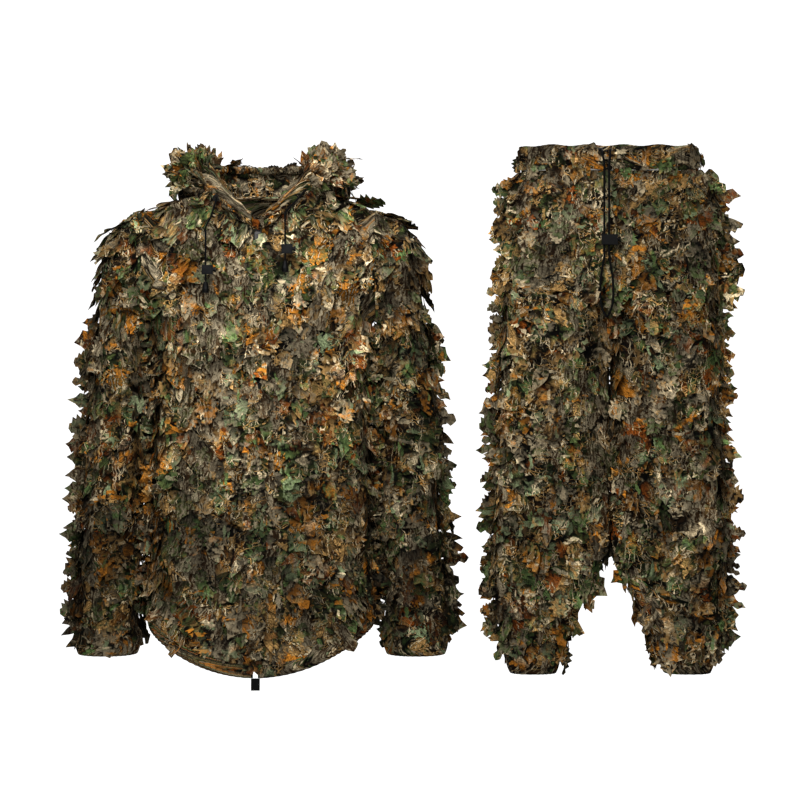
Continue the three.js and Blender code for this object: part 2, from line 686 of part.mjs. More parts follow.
// ---- waist cord: out of one eyelet, down through the lock, round the loop and back ----
sides.forEach(([name, side]) => {
  const at = new THREE.Vector3(waistCord.x + side * eyeletHalf, trousers.y - trousers.bandDepth - 1.2, hiddenZ);
  add(`waist_eyelet_${name}`, eyelet(at, new THREE.Vector3(0, 1, 0), 5.4, 2.6, 1.8), paint.brass);
});
const eyeFace = trousers.y + hiddenY - waistCord.radius - touchGap;
const strandY = waistCord.y;
const half = waistCord.strandHalf;
const strand = (side) => [
  [waistCord.x + side * eyeletHalf, eyeFace, hiddenZ],
  [waistCord.x + side * eyeletHalf, eyeFace - 12, hiddenZ],
  [waistCord.x + side * (half + 2), strandY + 4, hiddenZ - 14],
  [waistCord.x + side * half, strandY, 66],
  [waistCord.x + side * half, strandY, 58],
  [waistCord.x + side * half, strandY, -10],
  [waistCord.x + side * half, strandY, -86],
  [waistCord.x + side * half, strandY, -94],
  [waistCord.x + side * 11, strandY, -140],
  [waistCord.x + side * 9, strandY, -182],
];
const waistRoute = curveThrough([
  ...strand(-1), [waistCord.x, strandY, waistCord.loopBottom + waistCord.radius], ...strand(1).reverse(),
]);
add('waist_cord', tube(waistRoute, waistCord.radius, 56, 8), paint.cord);
cordLock('waist_lock', waistCord.x + 5, strandY, -66, waistLock,
  [-1, 1].map((side) => ({ at: waistCord.x + side * half, radius: 2.7 })));

export default group;
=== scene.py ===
import json
import math

import bpy
import numpy as np
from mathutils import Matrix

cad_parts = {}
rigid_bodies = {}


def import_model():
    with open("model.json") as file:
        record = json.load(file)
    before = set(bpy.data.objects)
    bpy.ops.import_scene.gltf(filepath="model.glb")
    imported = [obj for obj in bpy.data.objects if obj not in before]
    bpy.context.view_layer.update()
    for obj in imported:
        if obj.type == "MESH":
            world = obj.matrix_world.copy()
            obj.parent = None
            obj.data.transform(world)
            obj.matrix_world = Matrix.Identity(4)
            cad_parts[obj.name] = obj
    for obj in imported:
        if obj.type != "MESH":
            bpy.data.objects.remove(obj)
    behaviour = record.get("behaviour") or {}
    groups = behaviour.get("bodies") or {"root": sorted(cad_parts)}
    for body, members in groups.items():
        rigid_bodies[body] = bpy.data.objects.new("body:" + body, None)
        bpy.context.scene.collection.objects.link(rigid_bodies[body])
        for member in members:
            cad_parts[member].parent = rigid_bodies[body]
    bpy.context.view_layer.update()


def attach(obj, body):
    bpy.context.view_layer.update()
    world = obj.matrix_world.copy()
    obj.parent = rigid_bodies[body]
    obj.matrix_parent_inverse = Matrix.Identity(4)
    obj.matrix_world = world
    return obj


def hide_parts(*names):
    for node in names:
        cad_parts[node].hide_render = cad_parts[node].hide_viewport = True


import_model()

bothSides = (("Left", -1), ("Right", 1))
bothFaces = (("Front", True), ("Back", False))


# small tools

def unit(vectors):
    # each vector divided by its own length
    return vectors / np.maximum(np.linalg.norm(vectors, axis=-1, keepdims=True), 1e-9)


def smooth(low, high, value):
    # 3t^2 - 2t^3 of the value's share of the way from low to high
    share = np.clip((np.asarray(value, float) - low) / (high - low), 0, 1)
    return share * share * (3 - 2 * share)


def resample(line, count):
    # points evenly spaced by distance along a polyline
    steps = np.linalg.norm(np.diff(line, axis=0), axis=1)
    run = np.concatenate([[0], np.cumsum(steps)])
    wanted = np.linspace(0, run[-1], count)
    return np.stack([np.interp(wanted, run, line[:, k]) for k in range(line.shape[1])], axis=1)


def smoothPath(points, perStep=8):
    # centripetal Catmull-Rom: knots are spaced by the square root of the distance between points
    p = np.asarray(points, float)
    p = np.vstack([2 * p[0] - p[1], p, 2 * p[-1] - p[-2]])
    pieces = []
    for i in range(1, len(p) - 2):
        a, b, c, d = p[i - 1:i + 3]
        t1 = max(np.linalg.norm(b - a), 1e-9) ** 0.5
        t2 = t1 + max(np.linalg.norm(c - b), 1e-9) ** 0.5
        t3 = t2 + max(np.linalg.norm(d - c), 1e-9) ** 0.5
        t = np.linspace(t1, t2, perStep, endpoint=False)[:, None]
        ab = (t1 - t) / t1 * a + t / t1 * b
        bc = (t2 - t) / (t2 - t1) * b + (t - t1) / (t2 - t1) * c
        cd = (t3 - t) / (t3 - t2) * c + (t - t2) / (t3 - t2) * d
        abc = (t2 - t) / t2 * ab + t / t2 * bc
        bcd = (t3 - t) / (t3 - t1) * bc + (t - t1) / (t3 - t1) * cd
        pieces.append((t2 - t) / (t2 - t1) * abc + (t - t1) / (t2 - t1) * bcd)
    return np.vstack([*pieces, p[-2]])


def gridFaces(rows, columns, closed=False):
    # the quads of a grid of points, rows first
    across = np.arange(columns if closed else columns - 1)
    down = np.arange(rows - 1)[:, None] * columns
    nextAcross = (across + 1) % columns
    below = down + columns
    return np.stack([down + across, down + nextAcross, below + nextAcross, below + across], -1).reshape(-1, 4)


def gridNormals(grid, outward):
    # cross product of the two grid directions, turned to agree with the outward hint
    along = np.gradient(grid, axis=1)
    down = np.gradient(grid, axis=0)
    normals = unit(np.cross(along, down))
    flip = np.sign(np.sum(normals * outward, axis=-1, keepdims=True))
    flip[flip == 0] = 1
    return normals * flip


def buildMesh(name, points, faces, uvs=None, bakeUvs=None, values=None):
    # one mesh object from arrays: faces is a list of whole-number arrays with 3 or 4 columns
    mesh = bpy.data.meshes.new(name)
    loops = np.concatenate([f.ravel() for f in faces]).astype(np.int32)
    sizes = np.concatenate([np.full(len(f), f.shape[1]) for f in faces])
    starts = np.concatenate([[0], np.cumsum(sizes)[:-1]]).astype(np.int32)
    mesh.vertices.add(len(points))
    mesh.vertices.foreach_set("co", np.asarray(points, np.float32).ravel())
    mesh.loops.add(len(loops))
    mesh.loops.foreach_set("vertex_index", loops)
    mesh.polygons.add(len(sizes))
    mesh.polygons.foreach_set("loop_start", starts)
    mesh.polygons.foreach_set("use_smooth", np.ones(len(sizes), bool))
    for mapName, coordinates in (("print", uvs), ("OFBake", bakeUvs)):
        if coordinates is not None:
            layer = mesh.uv_layers.new(name=mapName)
            layer.data.foreach_set("uv", np.asarray(coordinates, np.float32)[loops].ravel())
    for valueName, numbers in (values or {}).items():
        attribute = mesh.attributes.new(valueName, "FLOAT", "POINT")
        attribute.data.foreach_set("value", np.asarray(numbers, np.float32))
    mesh.update(calc_edges=True)
    mesh.validate()
    piece = bpy.data.objects.new(name, mesh)
    bpy.context.collection.objects.link(piece)
    return piece


def roundedBox(x0, x1, depth, power, turns):
    # a superellipse between two sides: the cosine and the sine, each raised to 2/power with its sign kept
    x = np.sign(np.cos(turns)) * np.abs(np.cos(turns)) ** (2 / power)
    y = np.sign(np.sin(turns)) * np.abs(np.sin(turns)) ** (2 / power)
    return np.stack([(x0 + x1) / 2 + (x1 - x0) / 2 * x, depth * y], 1)


def finishPiece(piece, body, material, replaced=()):
    # the material, the body that it rides on, and the nodes that it stands for
    piece.data.materials.append(material)
    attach(piece, body)
    if replaced:
        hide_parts(*replaced)


# camera and light

studio = {
    "cameraPlace": (0.2346, -3.2, -0.345),
    "lens": 84.7,
    "sensor": 36,
    "floor": -1.6,
    "wallRadius": 14.0,
    "wallBend": 3.0,
    "paint": 0.92,
    "floorGlow": 0.55,
    "wallGlow": 0.98,
    "glowFrom": 1.6,
    "glowTo": 3.0,
    "skyStrength": 0.235,
    # place, point it faces, width and height, strength
    "lights": {
        "key": ((-0.10, -1.4, 0.55), (0.12, 0, -0.25), (0.7, 0.7), 26.5),
        "fill": ((1.0, -2.8, -0.2), (0.4, 0, -0.45), (1.6, 1.6), 13.5),
        "top": ((0.3, -0.4, 2.0), (0.25, 0, -0.3), (2.0, 1.4), 12),
        "back": ((0.25, 2.8, 0.3), (0.25, 0, -0.4), (2.2, 1.6), 50),
    },
}


def makeCamera():
    # level, looking straight along +Y
    camera = bpy.data.cameras.new("camera")
    camera.lens = studio["lens"]
    camera.sensor_width = studio["sensor"]
    piece = bpy.data.objects.new("camera", camera)
    piece.location = studio["cameraPlace"]
    piece.rotation_euler = (math.pi / 2, 0, 0)
    bpy.context.collection.objects.link(piece)
    bpy.context.scene.camera = piece


makeCamera()

# node tools

def addNode(tree, kind, inputs=None, **settings):
    # a node with its settings, and its inputs set to values or linked to sockets
    node = tree.nodes.new(kind)
    for key, value in settings.items():
        setattr(node, key, value)
    for key, value in (inputs or {}).items():
        if isinstance(value, bpy.types.NodeSocket):
            tree.links.new(value, node.inputs[key])
        else:
            node.inputs[key].default_value = value
    return node


def mathNode(tree, operation, a, b=0.0, clamp=False):
    # one sum of two values or sockets
    return addNode(tree, "ShaderNodeMath", {0: a, 1: b}, operation=operation, use_clamp=clamp).outputs[0]


def mixColour(tree, share, a, b, blend="MIX"):
    # a where the share is 0 and b where it is 1, or the two blended
    node = addNode(tree, "ShaderNodeMix", {0: share, 6: a, 7: b}, data_type="RGBA", blend_type=blend)
    return node.outputs[2]


def rangeNode(tree, value, low, high, toLow=0.0, toHigh=1.0):
    # a soft step: toLow at low, toHigh at high
    inputs = {"Value": value, "From Min": low, "From Max": high, "To Min": toLow, "To Max": toHigh}
    return addNode(tree, "ShaderNodeMapRange", inputs, interpolation_type="SMOOTHSTEP").outputs[0]


def rampNode(tree, value, stops):
    # the colour of the last stop that the value has passed
    node = addNode(tree, "ShaderNodeValToRGB", {0: value})
    ramp = node.color_ramp
    ramp.interpolation = "CONSTANT"
    while len(ramp.elements) < len(stops):
        ramp.elements.new(1.0)
    for element, (place, colour) in zip(ramp.elements, stops):
        element.position = place
        element.color = (*colour, 1)
    return node.outputs[0]


def scaledVector(tree, vector, scale, turn=0.0):
    # a pattern's place, stretched and turned about Z
    inputs = {"Vector": vector, "Rotation": (0, 0, turn), "Scale": scale}
    return addNode(tree, "ShaderNodeMapping", inputs).outputs[0]


def noiseNode(tree, vector, scale, detail=2.0, output=0):
    # cloudy values about 0.5 (output 0), or three of them at once (output 1)
    inputs = {"Vector": vector, "Scale": scale, "Detail": detail, "Roughness": 0.55}
    return addNode(tree, "ShaderNodeTexNoise", inputs).outputs[output]


def newMaterial(name, roughness, metallic=0.0, specular=None):
    # a plain shader to wire a pattern into
    material = bpy.data.materials.new(name)
    material.use_nodes = True
    tree = material.node_tree
    shader = tree.nodes["Principled BSDF"]
    shader.inputs["Roughness"].default_value = roughness
    shader.inputs["Metallic"].default_value = metallic
    if specular is not None:
        shader.inputs["Specular IOR Level"].default_value = specular
    return material, tree, shader


def bumpInto(tree, shader, height, strength, distance):
    # the height pattern as fine relief, distance metres deep
    inputs = {"Height": height, "Strength": strength, "Distance": distance}
    bump = addNode(tree, "ShaderNodeBump", inputs)
    tree.links.new(bump.outputs[0], shader.inputs["Normal"])


# the woodland print

woodland = {
    "black": (0.006, 0.0038, 0.0012),
    "umber": (0.034, 0.016, 0.005),
    "bark": (0.120, 0.070, 0.030),
    "moss": (0.026, 0.042, 0.012),
    "olive": (0.085, 0.108, 0.032),
    "leaf": (0.150, 0.228, 0.072),
    "sage": (0.285, 0.345, 0.175),
    "stone": (0.320, 0.262, 0.165),
    "tan": (0.520, 0.300, 0.100),
    "cream": (0.880, 0.700, 0.420),
    "orange": (0.620, 0.230, 0.026),
    "rust": (0.290, 0.075, 0.010),
    "cellsPerMetre": 38,
    "shardsPerMetre": 42,
    "bigPerMetre": 21,
    "veinsPerMetre": 75,
    "trunksPerMetre": 9,
    "weavePerMetre": 420,
    "clothPaintedShade": 0.6,
}


def palette(names):
    # evenly spaced constant stops of the named colours
    return [(i / len(names), woodland[name]) for i, name in enumerate(names)]


def cellNode(tree, vector, scale):
    # a cell pattern: distance from each cell's middle, and a random colour for each cell
    return addNode(tree, "ShaderNodeTexVoronoi", {"Vector": vector, "Scale": scale})


def cellEdge(tree, vector, scale):
    # distance to the nearest cell border
    inputs = {"Vector": vector, "Scale": scale}
    return addNode(tree, "ShaderNodeTexVoronoi", inputs, feature="DISTANCE_TO_EDGE").outputs[0]


def waveNode(tree, vector, scale, direction, **inputs):
    # parallel bands along a direction
    settings = {"Vector": vector, "Scale": scale, **inputs}
    return addNode(tree, "ShaderNodeTexWave", settings, bands_direction=direction).outputs[1]


def edgeLines(tree, vector, scale, width, stretch, turn):
    # thin crooked lines: a stretched and turned cell pattern, near its cell borders
    border = cellEdge(tree, scaledVector(tree, vector, stretch, turn), scale)
    return rangeNode(tree, border, width, width * 0.45)


def woodlandColour(tree, vector):
    # layers, from the ground up: shadow ground, leaf shapes, bark shards, twigs with shadows, fine grain
    wobble = noiseNode(tree, vector, 75, 2, 1)
    centred = addNode(tree, "ShaderNodeVectorMath", {0: wobble, 1: (0.5, 0.5, 0.5)}, operation="SUBTRACT")
    pushed = addNode(tree, "ShaderNodeVectorMath", {0: centred.outputs[0], "Scale": 0.015}, operation="SCALE")
    bent = addNode(tree, "ShaderNodeVectorMath", {0: vector, 1: pushed.outputs[0]}, operation="ADD")
    bent = bent.outputs[0]

    litter = rangeNode(tree, noiseNode(tree, vector, 16, 1), 0.44, 0.56)
    cells = cellNode(tree, bent, woodland["cellsPerMetre"])
    cellPick = addNode(tree, "ShaderNodeSeparateColor", {0: cells.outputs["Color"]})
    greenNames = ["umber", "olive", "leaf", "black", "stone", "moss", "sage", "olive",
                  "orange", "moss", "leaf", "black", "tan", "olive", "cream", "umber"]
    litterNames = ["orange", "umber", "tan", "stone", "rust", "tan", "black", "orange",
                   "cream", "bark", "tan", "olive", "rust", "black", "stone", "tan"]
    greens = rampNode(tree, cellPick.outputs[0], palette(greenNames))
    browns = rampNode(tree, cellPick.outputs[0], palette(litterNames))
    leafColour = mixColour(tree, litter, greens, browns)
    rim = rangeNode(tree, cellEdge(tree, bent, woodland["cellsPerMetre"]), 0.02, 0.20, 0.05, 1.0)
    veins = waveNode(tree, bent, woodland["veinsPerMetre"], "DIAGONAL", Distortion=9, Detail=3)
    veined = mathNode(tree, "MULTIPLY", rim, rangeNode(tree, veins, 0.0, 1.0, 0.55, 1.30))
    leafShaded = mixColour(tree, 1.0, leafColour, veined, "MULTIPLY")

    dirt = rangeNode(tree, noiseNode(tree, bent, 230, 4), 0.48, 0.66)
    ground = mixColour(tree, dirt, (*woodland["black"], 1), (*woodland["stone"], 1))
    leafMask = rangeNode(tree, noiseNode(tree, bent, 48, 2), 0.40, 0.44)
    colour = mixColour(tree, leafMask, ground, leafShaded)

    barkLayers = (((2.8, 0.7, 1), 0.6, ["cream", "sage", "black", "tan", "stone", "leaf"]),
                  ((0.6, 2.6, 1), 0.3, ["umber", "cream", "stone", "black", "sage", "orange"]))
    for stretch, turn, names in barkLayers:
        shardVector = scaledVector(tree, bent, stretch, turn)
        shards = cellNode(tree, shardVector, woodland["shardsPerMetre"])
        shardPick = addNode(tree, "ShaderNodeSeparateColor", {0: shards.outputs["Color"]})
        shardColour = rampNode(tree, shardPick.outputs[1], palette(names))
        shardMask = mathNode(tree, "MULTIPLY", rangeNode(tree, shardPick.outputs[0], 0.66, 0.68),
                             rangeNode(tree, shards.outputs["Distance"], 0.46, 0.36))
        colour = mixColour(tree, shardMask, colour, shardColour)

    big = cellNode(tree, bent, woodland["bigPerMetre"])
    bigPick = addNode(tree, "ShaderNodeSeparateColor", {0: big.outputs["Color"]})
    lobes = rangeNode(tree, noiseNode(tree, vector, 130, 1), 0.3, 0.7, -0.14, 0.14)
    edge = mathNode(tree, "ADD", big.outputs["Distance"], lobes)
    bigNames = ["orange", "tan", "rust", "leaf", "tan", "sage", "orange"]
    bigColour = rampNode(tree, bigPick.outputs[1], palette(bigNames))
    bigVeined = mathNode(tree, "MULTIPLY", rangeNode(tree, veins, 0.0, 1.0, 0.60, 1.20),
                         rangeNode(tree, edge, 0.40, 0.33, 0.04, 1.0))
    bigMask = mathNode(tree, "MULTIPLY", rangeNode(tree, bigPick.outputs[0], 0.52, 0.54),
                       rangeNode(tree, edge, 0.43, 0.41))
    colour = mixColour(tree, bigMask, colour, mixColour(tree, 1.0, bigColour, bigVeined, "MULTIPLY"))

    patchy = rangeNode(tree, noiseNode(tree, vector, 30, 2), 0.46, 0.54)
    for scale, width, stretch, turn, name in ((30, 0.075, (2.6, 0.6, 1), 0.9, "black"),
                                              (30, 0.040, (2.6, 0.6, 1), 0.9, "cream"),
                                              (34, 0.070, (0.5, 2.4, 1), -0.5, "black"),
                                              (34, 0.030, (0.5, 2.4, 1), -0.5, "tan")):
        twigMask = mathNode(tree, "MULTIPLY", edgeLines(tree, bent, scale, width, stretch, turn), patchy)
        colour = mixColour(tree, twigMask, colour, (*woodland[name], 1))

    trunks = cellEdge(tree, scaledVector(tree, vector, (1, 0.16, 1), 0.08), woodland["trunksPerMetre"])
    streaks = noiseNode(tree, scaledVector(tree, bent, (1, 0.12, 1)), 260, 3)
    trunkColour = mixColour(tree, rangeNode(tree, streaks, 0.42, 0.60), (*woodland["umber"], 1),
                            (*woodland["stone"], 1))
    trunkMask = mathNode(tree, "MULTIPLY", rangeNode(tree, trunks, 0.055, 0.045),
                         rangeNode(tree, noiseNode(tree, bent, 40, 2), 0.44, 0.50))
    colour = mixColour(tree, trunkMask, colour, trunkColour)

    blot = rangeNode(tree, noiseNode(tree, vector, 11, 2), 0.36, 0.64, 0.50, 1.35)
    specks = rangeNode(tree, noiseNode(tree, vector, 380, 2), 0.34, 0.66, 0.62, 1.38)
    return mixColour(tree, 1.0, colour, mathNode(tree, "MULTIPLY", blot, specks), "MULTIPLY")


def clothBump(tree, vector):
    # a fine plain weave with soft creases
    weaveX, weaveY = (waveNode(tree, vector, woodland["weavePerMetre"], direction) for direction in "XY")
    weave = mathNode(tree, "ADD", weaveX, weaveY)
    crease = noiseNode(tree, vector, 70, 3)
    return mathNode(tree, "ADD", mathNode(tree, "MULTIPLY", weave, 0.12), crease)


def woodlandMaterial(name, leafy, dim=1.0):
    # the print on cloth; on leaf flaps each leaf also has its own tint, and its own random brightness times a
    # painted shade
    material, tree, shader = newMaterial(name, 0.88, specular=0.08)
    vector = addNode(tree, "ShaderNodeUVMap", uv_map="print").outputs[0]
    colour = woodlandColour(tree, vector)
    if leafy:
        tone = addNode(tree, "ShaderNodeAttribute", attribute_name="tone").outputs["Fac"]
        shade = addNode(tree, "ShaderNodeAttribute", attribute_name="shade").outputs["Fac"]
        tintNames = ["olive", "stone", "moss", "tan", "leaf", "umber", "orange", "sage",
                     "stone", "bark", "cream", "olive", "black", "rust", "leaf", "tan"]
        tint = rampNode(tree, tone, palette(tintNames))
        share = rangeNode(tree, noiseNode(tree, vector, 110, 2), 0.40, 0.60, 0.0, 0.42)
        colour = mixColour(tree, share, colour, tint)
        colour = mixColour(tree, 1.0, colour, shade, "MULTIPLY")
    # dims the whole piece; on the plain cloth this is painted shade where it shows between and under the
    # flaps
    colour = mixColour(tree, 1.0, colour, (dim, dim, dim, 1), "MULTIPLY")
    tree.links.new(colour, shader.inputs["Base Color"])
    bumpInto(tree, shader, clothBump(tree, vector), 0.35, 0.0012)
    return material


def bindingMaterial():
    # dark olive knitted binding: fine ribs with a little dirt
    material, tree, shader = newMaterial("bindingCloth", 0.92)
    place = addNode(tree, "ShaderNodeTexCoord").outputs["Object"]
    blot = rangeNode(tree, noiseNode(tree, place, 60, 4), 0.35, 0.65)
    colour = mixColour(tree, blot, (*woodland["umber"], 1), (*woodland["moss"], 1))
    tree.links.new(colour, shader.inputs["Base Color"])
    bumpInto(tree, shader, waveNode(tree, place, 260, "Z"), 0.4, 0.0006)
    return material


def cordMaterial():
    # black braided cord: two sets of slanting strands
    material, tree, shader = newMaterial("blackCord", 0.72, specular=0.08)
    place = addNode(tree, "ShaderNodeTexCoord").outputs["Object"]
    fuzz = noiseNode(tree, place, 900, 3)
    colour = mixColour(tree, fuzz, (0.0008, 0.0008, 0.0008, 1), (0.004, 0.004, 0.004, 1))
    tree.links.new(colour, shader.inputs["Base Color"])
    left, right = (waveNode(tree, scaledVector(tree, place, (hand, 1, 1), 0.8), 480, "DIAGONAL")
                   for hand in (1, -1))
    bumpInto(tree, shader, mathNode(tree, "MAXIMUM", left, right), 0.6, 0.0005)
    return material


def speckledMaterial(name, dark, light, roughness, metallic=0.0, scale=300.0, bump=0.15, specular=None):
    # moulded or cast surface: two close colours, uneven gloss and a faint grain
    material, tree, shader = newMaterial(name, roughness, metallic, specular)
    place = addNode(tree, "ShaderNodeTexCoord").outputs["Object"]
    speck = noiseNode(tree, place, scale, 4)
    tree.links.new(mixColour(tree, speck, (*dark, 1), (*light, 1)), shader.inputs["Base Color"])
    patches = noiseNode(tree, place, scale * 0.3, 3)
    gloss = rangeNode(tree, patches, 0.3, 0.7, roughness - 0.08, roughness + 0.12)
    tree.links.new(gloss, shader.inputs["Roughness"])
    bumpInto(tree, shader, speck, bump, 0.0004)
    return material


# the plain cloth, mostly seen between and under the flaps, is dimmed: painted shade
printCloth = woodlandMaterial("printCloth", False, woodland["clothPaintedShade"])
leafCloth = woodlandMaterial("leafCloth", True)
bindingCloth = bindingMaterial()
blackCord = cordMaterial()
blackPlastic = speckledMaterial("blackPlastic", (0.0006,) * 3, (0.002,) * 3, 0.50, specular=0.10)
darkMetal = speckledMaterial("darkMetal", (0.010, 0.009, 0.008), (0.028, 0.026, 0.024), 0.45, 0.5)
springSteel = speckledMaterial("springSteel", (0.35, 0.36, 0.37), (0.55, 0.56, 0.57), 0.3, 1.0)
zipCloth = speckledMaterial("zipCloth", (0.006, 0.006, 0.003), (0.016, 0.015, 0.008), 0.85,
                            scale=900, bump=0.4, specular=0.1)
whiteElastic = speckledMaterial("whiteElastic", (0.55, 0.54, 0.50), (0.72, 0.71, 0.67), 0.9, 0.0, 500, 0.4)

hoodLocks = [f"hood_lock_{side}" for side in ("left", "right")]
nodeLooks = [
    (blackPlastic, ["cord_bell_left", "cord_bell_right", "waist_lock_barrel", "waist_lock_button",
                    "zip_bottom_box",
                    *(f"{lock}_{part}" for lock in hoodLocks for part in ("barrel", "button"))]),
    (darkMetal, ["zip_slider", "zip_pull", "hood_eyelet_left", "hood_eyelet_right", "waist_eyelet_left",
                 "waist_eyelet_right"]),
    (springSteel, ["waist_lock_spring", *(f"{lock}_spring" for lock in hoodLocks)]),
    (zipCloth, ["zip_tape_left", "zip_tape_right"]),
    (whiteElastic, ["hem_elastic", "cuff_elastic_left", "cuff_elastic_right", "waist_elastic",
                    "ankle_elastic_left", "ankle_elastic_right"]),
    (bindingCloth, ["hanger_loop"]),
    (blackCord, ["hood_cord_hidden", "waist_cord_hidden"]),
]
for material, names in nodeLooks:
    for name in names:
        node = bpy.data.objects[name]
        node.data.materials.clear()
        node.data.materials.append(material)

# cords

cordRoutes = {
    "hoodCordLeft": {
        "points": [(-0.06997, -0.08128, -0.0092), (-0.06936, -0.08751, -0.01361), (-0.076, -0.112, -0.044),
                   (-0.083, -0.126, -0.064), (-0.083, -0.126, -0.074), (-0.083, -0.126, -0.15165)],
        "diameter": 0.0032, "farEnd": "fitting", "node": "hood_cord_left",
        "pieces": ["cord_bell_left", "hood_lock_left_barrel", "hood_lock_left_button",
                   "hood_lock_left_spring", "hood_eyelet_left"],
        "body": "jacket",
    },
    "hoodCordRight": {
        "points": [(0.08199, -0.05429, 0.01781), (0.08172, -0.06065, 0.01356), (0.066, -0.098, -0.014),
                   (0.047, -0.126, -0.040), (0.047, -0.126, -0.050), (0.047, -0.126, -0.11765)],
        "diameter": 0.0032, "farEnd": "fitting", "node": "hood_cord_right",
        "pieces": ["cord_bell_right", "hood_lock_right_barrel", "hood_lock_right_button",
                   "hood_lock_right_spring", "hood_eyelet_right"],
        "body": "jacket",
    },
}


def waistRoute():
    # down one strand, round the loop's foot and up the other
    x, y, top, half = 0.594, 0.072, 0.093, 0.0042
    face = 0.10665
    strand = [(0.008, face, top), (0.008, face - 0.012, top), (half + 0.002, y + 0.004, top - 0.014),
              (half, y, 0.066), (half, y, 0.058), (half, y, -0.010), (half, y, -0.086), (half, y, -0.094),
              (0.011, y, -0.140), (0.009, y, -0.182)]
    left = [(x - a, b, c) for a, b, c in strand]
    right = [(x + a, b, c) for a, b, c in reversed(strand)]
    return [*left, (x, y, -0.199), *right]


cordRoutes["waistCord"] = {
    "points": waistRoute(), "diameter": 0.004, "farEnd": "object", "node": "waist_cord",
    "pieces": ["waist_lock_barrel", "waist_lock_button", "waist_lock_spring", "waist_eyelet_left",
               "waist_eyelet_right"],
    "body": "trousers",
}


def makeCord(name, facts):
    # a round curve through a smooth path
    path = smoothPath(facts["points"])
    curve = bpy.data.curves.new(name, "CURVE")
    curve.dimensions = "3D"
    curve.bevel_depth = facts["diameter"] / 2
    curve.bevel_resolution = 3
    spline = curve.splines.new("POLY")
    spline.points.add(len(path) - 1)
    spline.points.foreach_set("co", np.hstack([path, np.ones((len(path), 1))]).astype(np.float32).ravel())
    piece = bpy.data.objects.new(name, curve)
    bpy.context.collection.objects.link(piece)
    finishPiece(piece, facts["body"], blackCord, [facts["node"]])


for cordName, cordFacts in cordRoutes.items():
    makeCord(cordName, cordFacts)
print("cords made")

# leaf flaps

leafLook = {
    "segments": 10,
    "rowPitch": 0.027,
    "pitch": 0.025,
    "length": (0.030, 0.056),
    "width": (0.65, 1.05),
    "lift": 0.011,
    "slip": 0.006,
    "rest": 0.0015,
    "ceiling": 0.019,
    "ripple": 0.07,
    "brightness": (0.60, 1.30),
    "ribShade": 0.22,
    # how far the painted shade by place darkens: low down, by the armpits, over the sleeves and between the
    # legs; legs is the level of the painted shade on the legs
    "low": 0.42, "armpit": 0.60, "sleeves": 0.40, "inseam": 0.45, "legs": 0.90,
}


def leafOutlines():
    # half widths left and right of the rib, and how far each lobe sweeps toward the tip
    n = leafLook["segments"]
    b = np.linspace(0, 1, n + 1)
    body = np.sin(np.pi * np.clip(b, 0, 1) ** 0.8) ** 0.7
    teeth = np.where(np.arange(n + 1) % 2 == 1, 1.0, 0.0)
    oak = body * (0.36 + 0.22 * teeth)
    maple = np.interp(b, [0, 0.12, 0.25, 0.38, 0.5, 0.62, 0.75, 1],
                      [0.06, 0.42, 0.24, 0.62, 0.26, 0.36, 0.14, 0])
    ivy = np.interp(b, [0, 0.15, 0.3, 0.5, 0.7, 1], [0.14, 0.56, 0.36, 0.44, 0.2, 0])
    blade = np.sin(np.pi * b ** 0.7) * 0.26
    flame = np.interp(b, [0, 0.2, 0.4, 0.6, 0.8, 1], [0.2, 0.3, 0.18, 0.26, 0.08, 0])
    patch = np.interp(b, [0, 0.1, 0.45, 0.6, 0.8, 1], [0.4, 0.46, 0.42, 0.2, 0.3, 0.06])
    kinds = [(oak, oak, 0.10), (maple, maple, 0.16), (ivy, ivy, 0.12), (blade, blade * 0.9, 0.0),
             (flame, np.roll(flame, 1) * 0.9, 0.2), (patch, patch * 0.8, 0.05), (oak, blade, 0.12)]
    outlines = []
    for left, right, sweep in kinds:
        left, right = left.copy(), right.copy()
        left[-1] = right[-1] = 0.004
        across = np.stack([-left, np.zeros(n + 1), right], 1)
        along = np.stack([b + sweep * left, b, b + sweep * right], 1)
        outlines.append(np.stack([across, along], -1))
    return np.array(outlines)


outlines = leafOutlines()


def gridPrint(grid):
    # where the print lies on a panel: distance run across and down, with both directions
    steps = np.linalg.norm(np.diff(grid, axis=1), axis=2)
    run = np.concatenate([np.zeros((len(grid), 1)), np.cumsum(steps, 1)], 1)
    drops = np.linalg.norm(np.diff(grid, axis=0), axis=2)
    fall = np.concatenate([np.zeros((1, grid.shape[1])), np.cumsum(drops, 0)])
    shift = 1.7 * np.sin(len(grid) + 3 * grid[0, 0, 0] + 5 * grid[0, 0, 1])
    prints = np.stack([run + shift, shift - fall, 0 * run], -1)
    return prints, unit(np.gradient(grid, axis=1)), unit(np.gradient(grid, axis=0))


